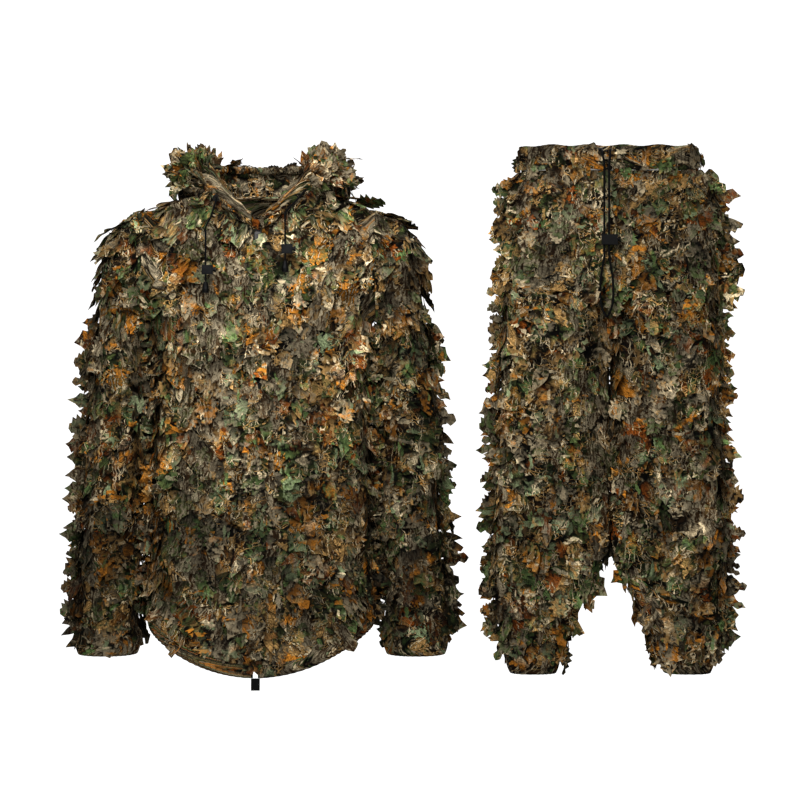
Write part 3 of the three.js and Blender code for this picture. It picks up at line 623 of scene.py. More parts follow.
def scatterAnchors(grid, normals, random, rowPitch, pitch, bottom):
    # anchor places, normals, print places and run directions, in jittered rows down a grid of points
    middle = grid[:, grid.shape[1] // 2]
    run = np.concatenate([[0], np.cumsum(np.linalg.norm(np.diff(middle, axis=0), axis=1))])
    sources = (grid, normals, *gridPrint(grid))
    found = [[] for source in sources]
    rowCount = max(2, int(round((run[-1] - bottom) / rowPitch)) + 1)
    perMetre = (len(run) - 1) / run[-1]
    for place in np.linspace(0.004, run[-1] - bottom, rowCount):
        row = np.interp(place, run, np.arange(len(run)))
        low = min(int(row), len(run) - 2)
        line = grid[low] * (low + 1 - row) + grid[low + 1] * (row - low)
        steps = np.concatenate([[0], np.cumsum(np.linalg.norm(np.diff(line, axis=0), axis=1))])
        count = max(1, int(round(steps[-1] / pitch)))
        wanted = (np.arange(count) + 0.5 + random.uniform(-0.45, 0.45, count)) * steps[-1] / count
        column = np.minimum(np.interp(wanted, steps, np.arange(len(steps))), grid.shape[1] - 1.001)
        rows = np.clip(row - random.uniform(0, 0.6, count) * rowPitch * perMetre, 0, len(run) - 1.001)
        r0, c0 = rows.astype(int), column.astype(int)
        fr, fc = (rows - r0)[:, None], (column - c0)[:, None]
        for source, target in zip(sources, found):
            top = source[r0, c0] * (1 - fc) + source[r0, c0 + 1] * fc
            lower = source[r0 + 1, c0] * (1 - fc) + source[r0 + 1, c0 + 1] * fc
            target.append(top * (1 - fr) + lower * fr)
    places, facings, prints, runs, falls = (np.vstack(rows) for rows in found)
    return {"places": places, "facings": unit(facings), "prints": prints,
            "runs": unit(runs), "falls": unit(falls)}


neckVee = ((-0.061, 0.0), (-0.027, 0.051), (0.022, 0.078))


def outOfNeck(points):
    # leaves that don't hang in front of the V of the neck
    heights, reach = np.array(neckVee).T
    vee = np.interp(points[..., 2], heights, reach, left=-1.0)
    return ~((points[..., 1] < 0) & (np.abs(points[..., 0]) < vee + 0.003)).any(axis=(1, 2))


def paintedShadeByPlace(places):
    # painted shade: darker low down and over the sleeves, where less light falls, and darker at the sleeves'
    # inner sides and between the legs, where shade falls between the parts
    x, z = places[:, 0], places[:, 2]
    low = 1 - leafLook["low"] * smooth(-0.32, -0.62, z)
    bySeam = 1 - smooth(0.0, 0.030, np.abs(np.abs(x) - 0.200))
    armpit = 1 - leafLook["armpit"] * bySeam * smooth(-0.10, -0.2, z)
    sleeves = 1 - leafLook["sleeves"] * smooth(0.20, 0.23, np.abs(x)) * (x < 0.4)
    byInseam = 1 - smooth(0.0, 0.025, np.abs(x - 0.608))
    inseam = 1 - leafLook["inseam"] * byInseam * smooth(-0.15, -0.25, z)
    legs = leafLook["legs"] - 0.05 * smooth(-0.2, -0.7, z)
    return np.where(x < 0.4, low * armpit * sleeves, inseam * legs)


def makeLeaves(name, anchors, body, seed, spread=0.6, lift=1.0, size=1.0, clear=None, along=None,
               replaced=()):
    # each leaf hangs from its anchor along the cloth, turned at random, with a rib, a curl and a lifted tip
    random = np.random.default_rng(seed)
    places, facings = anchors["places"], anchors["facings"]
    count = len(places)
    if along is None:
        down = np.array([0, 0, -1.0]) + 0.25 * facings + random.normal(0, 0.06, (count, 3))
        down = unit(down - facings * np.sum(down * facings, axis=1, keepdims=True))
        side = np.cross(facings, down)
        turn = random.normal(0, spread, count)[:, None]
        along = down * np.cos(turn) + side * np.sin(turn)
    across = np.cross(facings, along)
    shape = outlines[random.integers(0, len(outlines), count)]
    length = size * random.uniform(*leafLook["length"], count)[:, None, None]
    width = length * random.uniform(*leafLook["width"], count)[:, None, None]
    a, b = shape[..., 0], shape[..., 1]
    edgeOn = 0.5 + 0.8 * np.abs(facings[:, 0]) ** 2
    raised = (edgeOn * (0.25 + random.gamma(1.6, 0.45, count)))[:, None, None] * lift
    curl = random.uniform(-0.35, 0.6, count)[:, None, None]
    ripple = leafLook["ripple"] * np.sin(9 * b + random.uniform(0, 6.3, count)[:, None, None] + 4 * a)
    height = leafLook["rest"] + random.uniform(0, 0.003, count)[:, None, None]
    height = height + leafLook["lift"] * raised * b ** 1.4 + length * (curl * a * a * 0.8 + ripple * b * 0.6)
    height = np.maximum(height, 0.0006)
    height = np.minimum(height, leafLook["ceiling"] * lift + 0.002)
    offsets = across[:, None, None] * (a * width)[..., None] + along[:, None, None] * (b * length)[..., None]
    points = places[:, None, None] + offsets + facings[:, None, None] * height[..., None]
    if clear is not None:
        points = clear(points)
    slip = random.uniform(-1, 1, (2, count))[:, :, None, None] * leafLook["slip"]
    prints = anchors["prints"][:, None, None]
    printU = prints[..., 0] + np.einsum("nrck,nk->nrc", offsets, anchors["runs"]) + slip[0]
    printV = prints[..., 1] - np.einsum("nrck,nk->nrc", offsets, anchors["falls"]) + slip[1]
    tone = np.broadcast_to(random.random(count)[:, None, None], a.shape)
    # painted shade: each leaf's random brightness times the painted shade by place, darker toward its base,
    # where it tucks under the leaf above, and darker along its rib
    level = random.uniform(*leafLook["brightness"], count)[:, None, None] * paintedShadeByPlace(places)[:, None, None]
    shade = level * (0.30 + 0.75 * smooth(0.0, 0.6, b)) * (1 - leafLook["ribShade"] * (np.abs(a) < 0.02))
    kept = outOfNeck(points) if body == "jacket" else np.ones(count, bool)
    points, a, b, printU, printV, tone, shade = (v[kept] for v in (points, a, b, printU, printV, tone, shade))
    count = len(points)
    rows, columns = a.shape[1:3]
    single = gridFaces(rows, columns)
    faces = (single[None] + (np.arange(count) * rows * columns)[:, None, None]).reshape(-1, 4)
    cells = math.ceil(math.sqrt(count))
    column, row = np.arange(count) % cells, np.arange(count) // cells
    bakeU = (column[:, None, None] + 0.5 + np.clip(a, -0.62, 0.62) * 0.72) / cells
    bakeV = (row[:, None, None] + 0.06 + np.clip(b, 0, 1.2) * 0.72) / cells
    piece = buildMesh(
        name, points.reshape(-1, 3), [faces],
        np.stack([printU, printV], -1).reshape(-1, 2), np.stack([bakeU, bakeV], -1).reshape(-1, 2),
        {"tone": tone.ravel(), "shade": shade.ravel()})
    finishPiece(piece, body, leafCloth, replaced)
    return piece


# cloth panels

clothThickness = 0.0012


def pleats(grid, normals, depth, pitch, seed):
    # soft creases: a few slow sines along the run, fading to nothing at all four edges of the panel
    random = np.random.default_rng(seed)
    run = gridPrint(grid)[0][..., 0]
    down = -grid[..., 2]
    wave = np.zeros(grid.shape[:2])
    for k in range(5):
        scale = 2 * np.pi / (pitch * random.uniform(0.7, 1.8))
        lean = random.uniform(-0.35, 0.35)
        start = random.uniform(0, 6.3)
        wave += np.sin(scale * (run + lean * down) + start + 2 * np.sin(down * random.uniform(3, 9)))
    across = np.linspace(0, 1, grid.shape[1])[None]
    along = np.linspace(0, 1, grid.shape[0])[:, None]
    fade = smooth(0, 0.12, across) * smooth(0, 0.12, 1 - across)
    fade = fade * smooth(0, 0.05, along) * smooth(0, 0.05, 1 - along)
    return grid + normals * (fade * depth * (wave / 5 - 0.5))[..., None]


def clothPiece(name, grid, body, replaced):
    # a thin sheet from a grid of points; the print lies flat on it by distance run
    rows, columns = grid.shape[:2]
    prints = gridPrint(grid)[0]
    uvs = prints[..., :2].reshape(-1, 2)
    bakeU, bakeV = np.meshgrid(np.linspace(0.01, 0.99, columns), np.linspace(0.01, 0.99, rows))
    piece = buildMesh(name, grid.reshape(-1, 3), [gridFaces(rows, columns)], uvs,
                      np.stack([bakeU, bakeV], -1).reshape(-1, 2))
    thick = piece.modifiers.new("thickness", "SOLIDIFY")
    thick.thickness = clothThickness
    thick.offset = 0
    finishPiece(piece, body, printCloth, replaced)
    return piece


def leafyPanel(name, grid, outward, body, replaced, seed, fold=0.006, foldPitch=0.11, clear=None, lift=1.0,
               size=1.0, spread=0.6, bottom=0.004, keep=None):
    # one panel with its rows of leaf flaps
    normals = gridNormals(grid, outward)
    folded = pleats(grid, normals, fold, foldPitch, seed)
    normals = gridNormals(folded, outward)
    random = np.random.default_rng(seed + 1000)
    anchors = scatterAnchors(folded, normals, random, leafLook["rowPitch"], leafLook["pitch"], bottom)
    if keep is not None:
        chosen = keep(anchors["places"], anchors["facings"])
        anchors = {key: value[chosen] for key, value in anchors.items()}
    leaves = makeLeaves(f"{name}Leaves", anchors, body, seed, spread, lift, size, clear)
    clothPiece(name, folded, body, replaced)
    print(name, len(anchors["places"]), "leaves")


def flatAnchors(places, facings, source):
    # anchors whose print is laid straight onto the XZ plane
    count = len(places)
    prints = np.stack([source[:, 0], source[:, 2], 0 * source[:, 0]], 1)
    return {"places": places, "facings": facings, "prints": prints,
            "runs": np.tile([1.0, 0, 0], (count, 1)), "falls": np.tile([0, 0, -1.0], (count, 1))}


def fringeLeaves(name, line, outward, body, seed, reach, replaced=()):
    # leaves standing sideways out of a seam: they start just inside it and point out and a little down
    random = np.random.default_rng(seed)
    count = len(line)
    drop = random.uniform(-0.15, 0.8, count)
    along = unit(np.stack([np.full(count, outward), random.uniform(-0.25, 0.25, count), -drop], 1))
    facings = np.array([0, -1.0, 0]) + random.uniform(-0.35, 0.35, (count, 3))
    facings = unit(facings - along * np.sum(along * facings, axis=1, keepdims=True))
    places = line + random.uniform(-0.006, 0.006, (count, 3)) - along * 0.008
    anchors = flatAnchors(places, facings, line)
    makeLeaves(name, anchors, body, seed, lift=0.7, size=reach, along=along, replaced=replaced)


# jacket trunk

trunk = {
    # height, half width, front depth (none lower down, where the zip's line gives it), back depth
    "levels": [(0.006, 0.060, 0.048, 0.048), (0.000, 0.110, 0.060, 0.060), (-0.006, 0.150, 0.068, 0.066),
               (-0.014, 0.175, 0.076, 0.074), (-0.025, 0.188, 0.084, 0.080), (-0.061, 0.192, 0.100, 0.088),
               (-0.120, 0.191, None, 0.098), (-0.210, 0.190, None, 0.105), (-0.480, 0.188, None, 0.114),
               (-0.860, 0.190, None, 0.121)],
    "power": 2.4,
    "inset": 0.003,
    "opening": 0.0064,
    "edgeLift": 0.0012,
    "zipTop": -0.061,
    "zipDepth": 0.100,
    "zipSlope": 0.0677,
    "zipRoom": 0.0075,
    "hem": -0.796,
    "hemRise": 0.072,
    "hemHalf": 0.19,
    "hemGathers": 95,
    "armhole": 0.098,
    "armAxis": -0.120,
    "armPlane": 0.1926,
    "neck": (0.078, 0.066),
}


def trunkSize(z):
    # half width, front depth and back depth at a height, read between the levels
    table = [(h, w, f if f else trunk["zipDepth"] + (trunk["zipTop"] - h) * trunk["zipSlope"], b)
             for h, w, f, b in trunk["levels"]]
    heights, widths, fronts, backs = np.array(table[::-1]).T
    return [float(np.interp(z, heights, column)) - trunk["inset"] for column in (widths, fronts, backs)]


def halfOutline(z, front):
    # a quarter turn from the middle to the side, widened onto the round armhole where the height meets it
    width, frontDepth, backDepth = trunkSize(z)
    q = np.linspace(0, np.pi / 2, 160)
    x = width * np.sin(q) ** (2 / trunk["power"])
    y = (frontDepth if front else backDepth) * np.cos(q) ** (2 / trunk["power"])
    y = y + trunk["edgeLift"] * (1 - smooth(0.016, 0.03, x)) * front
    rise = trunk["armhole"] - trunk["inset"]
    reach = math.sqrt(max(0.0, rise ** 2 - (z - trunk["armAxis"]) ** 2))
    if reach > 0:
        y = (y ** 16 + (reach * smooth(0.06, 0.12, x)) ** 16) ** (1 / 16)
        x, y = np.append(x, trunk["armPlane"]), np.append(y, reach)
    return np.stack([x, -y if front else y], 1)


def outsideNeck(line, z, front):
    # the part of an outline outside the neck hole and, in front, outside the V
    if z < trunk["zipTop"]:
        start = trunk["opening"] if front else 0.0
        return line[line[:, 0] >= start - 1e-6]
    ellipse = (line[:, 0] / trunk["neck"][0]) ** 2 + (line[:, 1] / trunk["neck"][1]) ** 2
    veeZ, veeX = np.array(neckVee).T
    start = max(trunk["opening"], float(np.interp(z, veeZ, veeX))) if front else 0.0
    inside = (ellipse < 1) | (line[:, 0] < start)
    first = len(line) - 2 if inside.all() else int(np.argmin(inside))
    return line[min(first, len(line) - 3):]


def hemCurve(x):
    # how far the hem rises: the square of the distance from the middle, up to a little past the side
    return trunk["hemRise"] * np.minimum(np.abs(x) / trunk["hemHalf"], 1.2) ** 2


def dropToHem(grid):
    # lower rows slide onto the curved hem
    share = smooth(-0.45, trunk["hem"], grid[..., 2])
    grid[..., 2] += share * hemCurve(grid[..., 0])
    return grid


def zipLine(z):
    # the zip's y at a height: it leans forward going down
    return -(trunk["zipDepth"] + (trunk["zipTop"] - z) * trunk["zipSlope"])


def trunkGrid(front, columns, side=1):
    # outlines stacked by height: one front, or the whole back with its half mirrored
    heights = np.concatenate([np.linspace(0.003, -0.03, 10), np.linspace(-0.036, trunk["hem"] + 0.016, 88)])
    rows = []
    for z in heights:
        line = outsideNeck(halfOutline(z, front), z, front)
        if front:
            line = resample(line, columns)
        else:
            half = resample(line, columns // 2 + 1)
            line = np.vstack([half[::-1] * (-1, 1), half[1:]])
        rows.append(np.column_stack([line[:, 0] * side, line[:, 1], np.full(len(line), z)]))
    return dropToHem(np.array(rows))


def trunkOutward(grid):
    # away from the middle line, with a little upward for the shoulders
    return grid * (1, 1, 0) + (0, 0, 0.02)


def clearOfZip(points):
    # leaves over the zip stand off far enough for the slider to pass under them
    near = 1 - smooth(0.004, 0.022, np.abs(points[..., 0]))
    proud = zipLine(points[..., 2]) - points[..., 1]
    points[..., 1] -= near * np.maximum(trunk["zipRoom"] - proud, 0) * (points[..., 1] < 0)
    return points


def belowNeck(places, facings):
    # no flaps round the neck hole, where the hood is sewn on
    return np.hypot(places[:, 0] / 0.100, places[:, 1] / 0.088) > 1


for sideName, side in bothSides:
    grid = trunkGrid(True, 40, side)
    low = sideName.lower()
    leafyPanel(f"jacketFront{sideName}", grid, trunkOutward(grid), "jacket", [f"jacket_front_{low}"],
               11 + side, fold=0.010, clear=clearOfZip, bottom=0.024, lift=0.8, keep=belowNeck)


def zipFlaps(side, seed):
    # flaps along one edge of the zip that lean over it, fewer of them over a stretch below the chest
    random = np.random.default_rng(seed)
    z = np.arange(-0.075, -0.765, -0.0125)
    z = z + random.uniform(-0.004, 0.004, len(z))
    bare = (z < -0.250) & (z > -0.390)
    z = z[random.random(len(z)) < np.where(bare, 0.25, 0.85)]
    places = np.stack([side * random.uniform(0.008, 0.016, len(z)), zipLine(z) - 0.001, z], 1)
    lean = random.uniform(0.2, 0.9, len(z))
    along = unit(np.stack([-side * np.sin(lean), -0.12 + 0 * z, -np.cos(lean)], 1))
    facings = np.tile([0, -1.0, 0], (len(z), 1))
    facings = unit(facings - along * np.sum(along * facings, axis=1, keepdims=True))
    return flatAnchors(places, facings, places), along


for sideName, side in bothSides:
    anchors, along = zipFlaps(side, 16 + side)
    makeLeaves(f"zipFlaps{sideName}", anchors, "jacket", 18 + side, lift=0.5, size=0.9, clear=clearOfZip,
               along=along)
backGrid = trunkGrid(False, 68)
leafyPanel("jacketBack", backGrid, trunkOutward(backGrid), "jacket", ["jacket_back"], 14, fold=0.009,
           bottom=0.024, keep=belowNeck)
print("trunk made")

# sleeves

sleeve = {
    # height, inner edge, outer edge, half depth
    "levels": [(-0.120, 0.1936, 0.272, 0.074), (-0.210, 0.1938, 0.281, 0.072), (-0.400, 0.196, 0.298, 0.066),
               (-0.620, 0.205, 0.311, 0.057), (-0.745, 0.209, 0.314, 0.050), (-0.800, 0.211, 0.313, 0.047)],
    # radius about the swing axis, distance out
    "dome": [(0.098, 0.1933), (0.088, 0.225), (0.074, 0.249), (0.044, 0.266), (0.0, 0.273)],
    "power": 2.2,
    "inset": 0.003,
    "cuffTop": -0.750,
    "cuffBottom": -0.775,
    "cuffMiddle": 0.261,
    "gathers": 34,
    "tuck": 0.008,
    "fringePitch": 0.0115,
    "seamPitch": 0.006,
}


def sleeveSize(z):
    # inner edge, outer edge and half depth at a height, read between the levels
    table = np.array(sleeve["levels"][::-1]).T
    return [np.interp(z, table[0], column) for column in table[1:]]


def sleeveOutline(z):
    # from the armhole's front edge, round the outside to the back: the dome or the tube, whichever is wider
    inset = sleeve["inset"]
    x0, x1, d = sleeveSize(z)
    x1, d = x1 - inset, d - inset
    radii, outs = np.array(sleeve["dome"][::-1]).T
    rise = abs(z - trunk["armAxis"])
    domeOut = float(np.interp(rise, radii, outs)) - inset * 0.8
    right = max(x1, domeOut) if z < trunk["armAxis"] else domeOut
    q = np.linspace(0, np.pi, 120)
    x = trunk["armPlane"] + 0.001 + (right - trunk["armPlane"] - 0.001) * np.sin(q / 2)
    domeRadius = np.interp(x, outs[::-1], radii[::-1])
    half = np.sqrt(np.maximum((domeRadius - inset) ** 2 - rise ** 2, 0))
    if z < trunk["armAxis"]:
        middle, wide = (x0 + x1) / 2, (x1 - x0) / 2
        share = np.clip(1 - np.abs((x - middle) / wide) ** sleeve["power"], 0, 1)
        half = np.maximum(half, d * share ** (1 / sleeve["power"]))
    front = np.stack([x, -half], 1)
    back = np.stack([x, half], 1)[::-1]
    return np.vstack([front, back[1:]])


def sleeveGrid(side, columns=46):
    # open outlines down to the armhole's foot, then closed rounded boxes down to the cuff
    inset = sleeve["inset"]
    heights = np.concatenate([trunk["armAxis"] + 0.0975 * np.cos(np.linspace(0.06, np.pi / 2, 16)),
                              np.linspace(-0.128, sleeve["cuffTop"], 70)])
    rows = []
    for z in heights:
        if z > -0.218:
            line = sleeveOutline(z)
        else:
            x0, x1, d = sleeveSize(z)
            turns = np.linspace(-np.pi, np.pi, 160)
            line = roundedBox(x0 + inset, x1 - inset, d - inset, sleeve["power"], turns)
        line = resample(line, columns)
        rows.append(np.column_stack([line[:, 0] * side, line[:, 1], np.full(len(line), z)]))
    return np.array(rows)


def gatheredBand(name, rings, body, replaced, gathers, centre):
    # a casing round its elastic: rings joined down, pulled into small gathers that fade at both edges
    rows = []
    for share, (line, z) in zip(np.linspace(0, 1, len(rings)), rings):
        run = np.linspace(0, 1, len(line))
        out = unit(line - centre)
        fade = 0.5 + 0.5 * math.sin(share * 3.1)
        pull = 0.0016 * np.sin(run * gathers * 2 * np.pi + 2 * np.sin(run * 31)) * fade
        puff = 0.0035 * math.sin(math.pi * share)
        moved = line + out * (pull + puff - 0.003)[:, None]
        rows.append(np.column_stack([moved, np.full(len(line), z)]))
    clothPiece(name, np.array(rows), body, replaced)


for sideName, side in bothSides:
    low = sideName.lower()
    grid = sleeveGrid(side)
    outward = np.stack([grid[..., 0] - side * 0.225, grid[..., 1],
                        np.maximum(grid[..., 2] - trunk["armAxis"], 0) * 2], -1)
    leafyPanel(f"sleeve{sideName}", grid, outward, f"sleeve_{low}_body", [f"sleeve_{low}"], 21 + side,
               fold=0.009, foldPitch=0.07, bottom=0.018, lift=0.9)
    seamZ = np.arange(-0.215, sleeve["cuffTop"] + sleeve["tuck"], -sleeve["fringePitch"])
    seam = np.stack([side * sleeveSize(seamZ)[1], 0 * seamZ, seamZ], 1)
    fringeLeaves(f"sleeveFringe{sideName}", seam, side, f"sleeve_{low}_body", 71 + side, 0.8,
                 [f"sleeve_fringe_{low}"])
    gapZ = np.arange(-0.222, -0.70, -sleeve["seamPitch"])
    everyOther = np.arange(len(gapZ)) % 2
    gapSeam = np.stack([np.full(len(gapZ), side * 0.190), -0.03 * everyOther, gapZ], 1)
    fringeLeaves(f"sideSeamLeaves{sideName}", gapSeam, side, "jacket", 75 + side, 0.6)
    innerSeam = np.stack([side * (sleeveSize(gapZ)[0] + 0.003), 0.02 - 0.05 * everyOther, gapZ], 1)
    fringeLeaves(f"sleeveInner{sideName}", innerSeam, -side, f"sleeve_{low}_body", 77 + side, 0.42)
    rings = []
    for z in np.linspace(sleeve["cuffTop"] + sleeve["tuck"], sleeve["cuffBottom"], 9):
        x0, x1, d = sleeveSize(z)
        turns = np.linspace(-np.pi, np.pi, 300)
        rings.append((roundedBox(side * x0, side * x1, d, sleeve["power"], turns), z))
    gatheredBand(f"cuff{sideName}", rings, f"sleeve_{low}_body", [f"cuff_{low}"], sleeve["gathers"],
                 (side * sleeve["cuffMiddle"], 0))
print("sleeves made")

# hem

def hemRings():
    # the trunk's outline all round, from one side of the zip to the other, following the hem's curve
    rings = []
    z = trunk["hem"]
    for lift in np.linspace(0.021, 0.0, 9):
        front = outsideNeck(halfOutline(z + lift, True), z, True)
        back = halfOutline(z + lift, False)
        half = np.vstack([front, back[::-1][1:]])
        line = resample(np.vstack([half, (half * (-1, 1))[::-1][1:]]), 620)
        rings.append((line, lift))
    return rings


def makeHem():
    # the casing round the hem's elastic: small gathers round each ring, deepest at mid height
    rows = []
    rings = hemRings()
    for share, (line, lift) in zip(np.linspace(0, 1, len(rings)), rings):
        run = np.linspace(0, 1, len(line))
        out = unit(line)
        fade = 0.4 + 0.6 * math.sin(share * 3.1)
        pull = 0.0018 * np.sin(run * trunk["hemGathers"] * 2 * np.pi + 2 * np.sin(run * 47)) * fade
        moved = line + out * (pull + 0.0015 + 0.002 * math.sin(math.pi * share))[:, None]
        z = trunk["hem"] + lift + hemCurve(line[:, 0])
        rows.append(np.column_stack([moved, z]))
    clothPiece("hemCasing", np.array(rows), "jacket", ["hem_casing"])


makeHem()

# hood

hood = {
    # turn from the back of the neck, middle radius, middle height, half width, half height
    "sections": [(0, 0.122, -0.022, 0.038, 0.092), (25, 0.122, -0.016, 0.038, 0.084),
                 (50, 0.121, 0.002, 0.038, 0.064), (75, 0.116, 0.022, 0.040, 0.046),
                 (100, 0.108, 0.024, 0.036, 0.038), (125, 0.094, 0.006, 0.025, 0.032),
                 (150, 0.092, -0.022, 0.016, 0.024), (174, 0.100, -0.050, 0.009, 0.014)],
    "lastTurn": 174,
    "inset": 0.004,
    "crumple": 0.006,
}


def hoodSize(turns):
    # middle radius, middle height, half width and half height at each turn from the back of the neck
    table = np.array(hood["sections"]).T
    return [np.interp(turns, table[0], column) for column in table[1:]]


def hoodGrid(side):
    # a crumpled ellipse swept round the neck, with the middle line that it is swept along
    turns = np.linspace(0, hood["lastTurn"], 60)[:, None]
    radius, height, wide, tall = hoodSize(turns)
    spin = np.linspace(0, 2 * np.pi, 49)
    waves = np.sin(3 * spin + turns * 0.13) + np.sin(5 * spin - turns * 0.31 + side)
    crumple = hood["crumple"] * waves * 0.5
    reach = radius + (wide - hood["inset"] + crumple) * np.cos(spin)
    angle = np.radians(turns)
    rise = height + (tall - hood["inset"] + crumple) * np.sin(spin)
    grid = np.stack([side * reach * np.sin(angle), reach * np.cos(angle), rise], -1)
    return grid, np.stack([side * radius * np.sin(angle), radius * np.cos(angle), height], -1)


def onHoodOutside(places, facings):
    # flaps on the side turned away from the neck
    radial = unit(places * (1, 1, 0))
    return (np.sum(radial * facings, axis=1) + 0.35 * facings[:, 2] > -0.05) & (places[:, 2] > -0.12)


for sideName, side in bothSides:
    grid, middle = hoodGrid(side)
    low = sideName.lower()
    leafyPanel(f"hood{sideName}", grid, grid - middle, "jacket", [f"hood_{low}"], 31 + side, fold=0.002,
               spread=0.9, lift=1.1, size=0.85, keep=onHoodOutside)

rim = {
    "points": [(-0.070, -0.081, -0.009), (-0.074, -0.040, 0.020), (-0.076, 0, 0.044), (-0.058, 0.052, 0.052),
               (0, 0.079, 0.054), (0.058, 0.052, 0.052), (0.076, 0, 0.046), (0.083, -0.030, 0.034),
               (0.082, -0.054, 0.018)],
    "radius": 0.0055,
    "gather": 0.0013,
    "steps": 300,
}


def makeRim():
    # the drawcord's casing: a gathered cloth tube round the hood's edge, with its own flaps
    path = resample(smoothPath(rim["points"], 24), rim["steps"])
    ahead = unit(np.gradient(path, axis=0))
    out = unit(path * (1, 1, 0))
    out = unit(out - ahead * np.sum(out * ahead, axis=1, keepdims=True))
    up = np.cross(ahead, out)
    spin = np.linspace(0, 2 * np.pi, 17)[None, :, None]
    place = np.arange(rim["steps"])[:, None, None]
    radius = rim["radius"] + rim["gather"] * np.sin(place * 1.3 + 2 * np.sin(place * 0.21 + spin))
    grid = path[:, None] + radius * (np.cos(spin) * out[:, None] + np.sin(spin) * up[:, None])
    normals = unit(grid - path[:, None])
    anchors = scatterAnchors(grid, normals, np.random.default_rng(91), 0.014, 0.012, 0.02)
    places = anchors["places"]
    wide = (np.abs(places[:, 0]) > 0.045) & (places[:, 1] > -0.05)
    chosen = onHoodOutside(places, anchors["facings"]) & wide
    anchors = {key: value[chosen] for key, value in anchors.items()}
    leaves = makeLeaves("hoodRimLeaves", anchors, "jacket", 92, spread=1.4, size=0.7)
    clothPiece("hoodRim", grid, "jacket", ["hood_rim_casing"])


def hoodTufts(sideName, side):
    # flaps that stand up and outward along the top of the roll beside the neck
    random = np.random.default_rng(95 + side)
    turns = random.uniform(42, 128, 90)
    radius, height, wide, tall = hoodSize(turns)
    spin = random.uniform(0.15, 2.1, len(turns))
    angle = np.radians(turns)
    radial = np.stack([side * np.sin(angle), np.cos(angle), 0 * angle], 1)
    up = np.array([0, 0, 1.0])
    reach = radius + (wide - 0.006) * np.cos(spin)
    rise = height + (tall - 0.006) * np.sin(spin)
    places = radial * reach[:, None] + up * rise[:, None]
    along = radial * np.cos(spin)[:, None] + up * np.sin(spin)[:, None]
    along = unit(along + random.normal(0, 0.35, along.shape))
    facings = random.normal(0, 1, along.shape) + (0, -1.2, 0)
    facings = unit(facings - along * np.sum(along * facings, axis=1, keepdims=True))
    anchors = {"places": places, "facings": facings, "prints": places + side,
               "runs": np.cross(along, facings), "falls": -along}
    makeLeaves(f"hoodTufts{sideName}", anchors, "jacket", 97 + side, lift=0.7, size=0.72, along=along)


makeRim()
for sideName, side in bothSides:
    hoodTufts(sideName, side)
print("hood made")

# trousers

trousers = {
    "x": 0.608, "y": 0.150,
    "bandHalf": 0.158, "bandDepth": 0.045, "bandBottom": 0.060, "bandTop": 0.103, "bandGathers": 44,
    "seat": [(0.062, 0.158, 0.045), (0.030, 0.182, 0.052), (-0.030, 0.187, 0.058), (-0.120, 0.188, 0.062),
             (-0.260, 0.189, 0.062)],
    "leg": [(-0.100, 0.003, 0.188, 0.062), (-0.434, 0.003, 0.199, 0.056), (-0.600, 0.003, 0.207, 0.051),
            (-0.662, 0.020, 0.208, 0.048), (-0.721, 0.048, 0.206, 0.044), (-0.765, 0.067, 0.196, 0.041),
            (-0.810, 0.092, 0.182, 0.036), (-0.850, 0.096, 0.178, 0.035)],
    "seatPower": 2.6, "legPower": 2.5,
    "hinge": -0.200, "seatCut": 0.0712, "legCut": 0.0695, "cutTop": -0.166,
    "legMiddle": 0.105, "crotchGap": 0.009, "fringePitch": 0.0115,
    "ankleTop": -0.803, "ankleBottom": -0.829, "ankleMiddle": 0.137, "ankleGathers": 26,
    "inset": 0.003,
}


def halfRing(x0, x1, depth, power, front, count):
    # the front or back half of a rounded box, from left to right
    turns = np.linspace(np.pi, 2 * np.pi, 200) if front else np.linspace(np.pi, 0, 200)
    return resample(roundedBox(x0, x1, depth, power, turns), count)


def trouserSize(part, z):
    # a panel's measures at a height, read between the levels
    table = np.array(trousers[part][::-1]).T
    return [np.interp(z, table[0], column) for column in table[1:]]


def hipSeam(grid, share, radius):
    # rows slide onto the round hip seam: a circle about the leg's hinge, seen from the side
    cut = trousers["hinge"] + np.sqrt(np.maximum(radius ** 2 - grid[..., 1] ** 2, 0))
    grid[..., 2] += share * (cut - trousers["cutTop"])
    return grid + (trousers["x"], trousers["y"], 0)


def seatGrid(front):
    # half rings stacked down from the waistband to the hip seam
    inset = trousers["inset"]
    rows = []
    for z in np.linspace(0.059, trousers["cutTop"], 34):
        w, d = (measure - inset for measure in trouserSize("seat", z))
        line = halfRing(-w, w, d, trousers["seatPower"], front, 70)
        rows.append(np.column_stack([line, np.full(len(line), z)]))
    grid = np.array(rows)
    return hipSeam(grid, smooth(0.02, trousers["cutTop"], grid[..., 2]), trousers["seatCut"])


def legGrid(side, front):
    # half rings stacked down from the hip seam to the cuff; the inner edge draws back below the crotch
    inset = trousers["inset"]
    rows = []
    for z in np.linspace(trousers["cutTop"], trousers["ankleTop"], 76):
        inner, outer, depth = trouserSize("leg", z)
        x0 = inner - inset / 2 + trousers["crotchGap"] * smooth(-0.60, -0.65, z) * smooth(-0.80, -0.77, z)
        x1 = outer - inset
        low, high = (x0, x1) if side > 0 else (-x1, -x0)
        line = halfRing(low, high, depth - inset, trousers["legPower"], front, 40)
        rows.append(np.column_stack([line, np.full(len(line), z)]))
    grid = np.array(rows)
    return hipSeam(grid, 1 - smooth(trousers["cutTop"], -0.24, grid[..., 2]), trousers["legCut"])


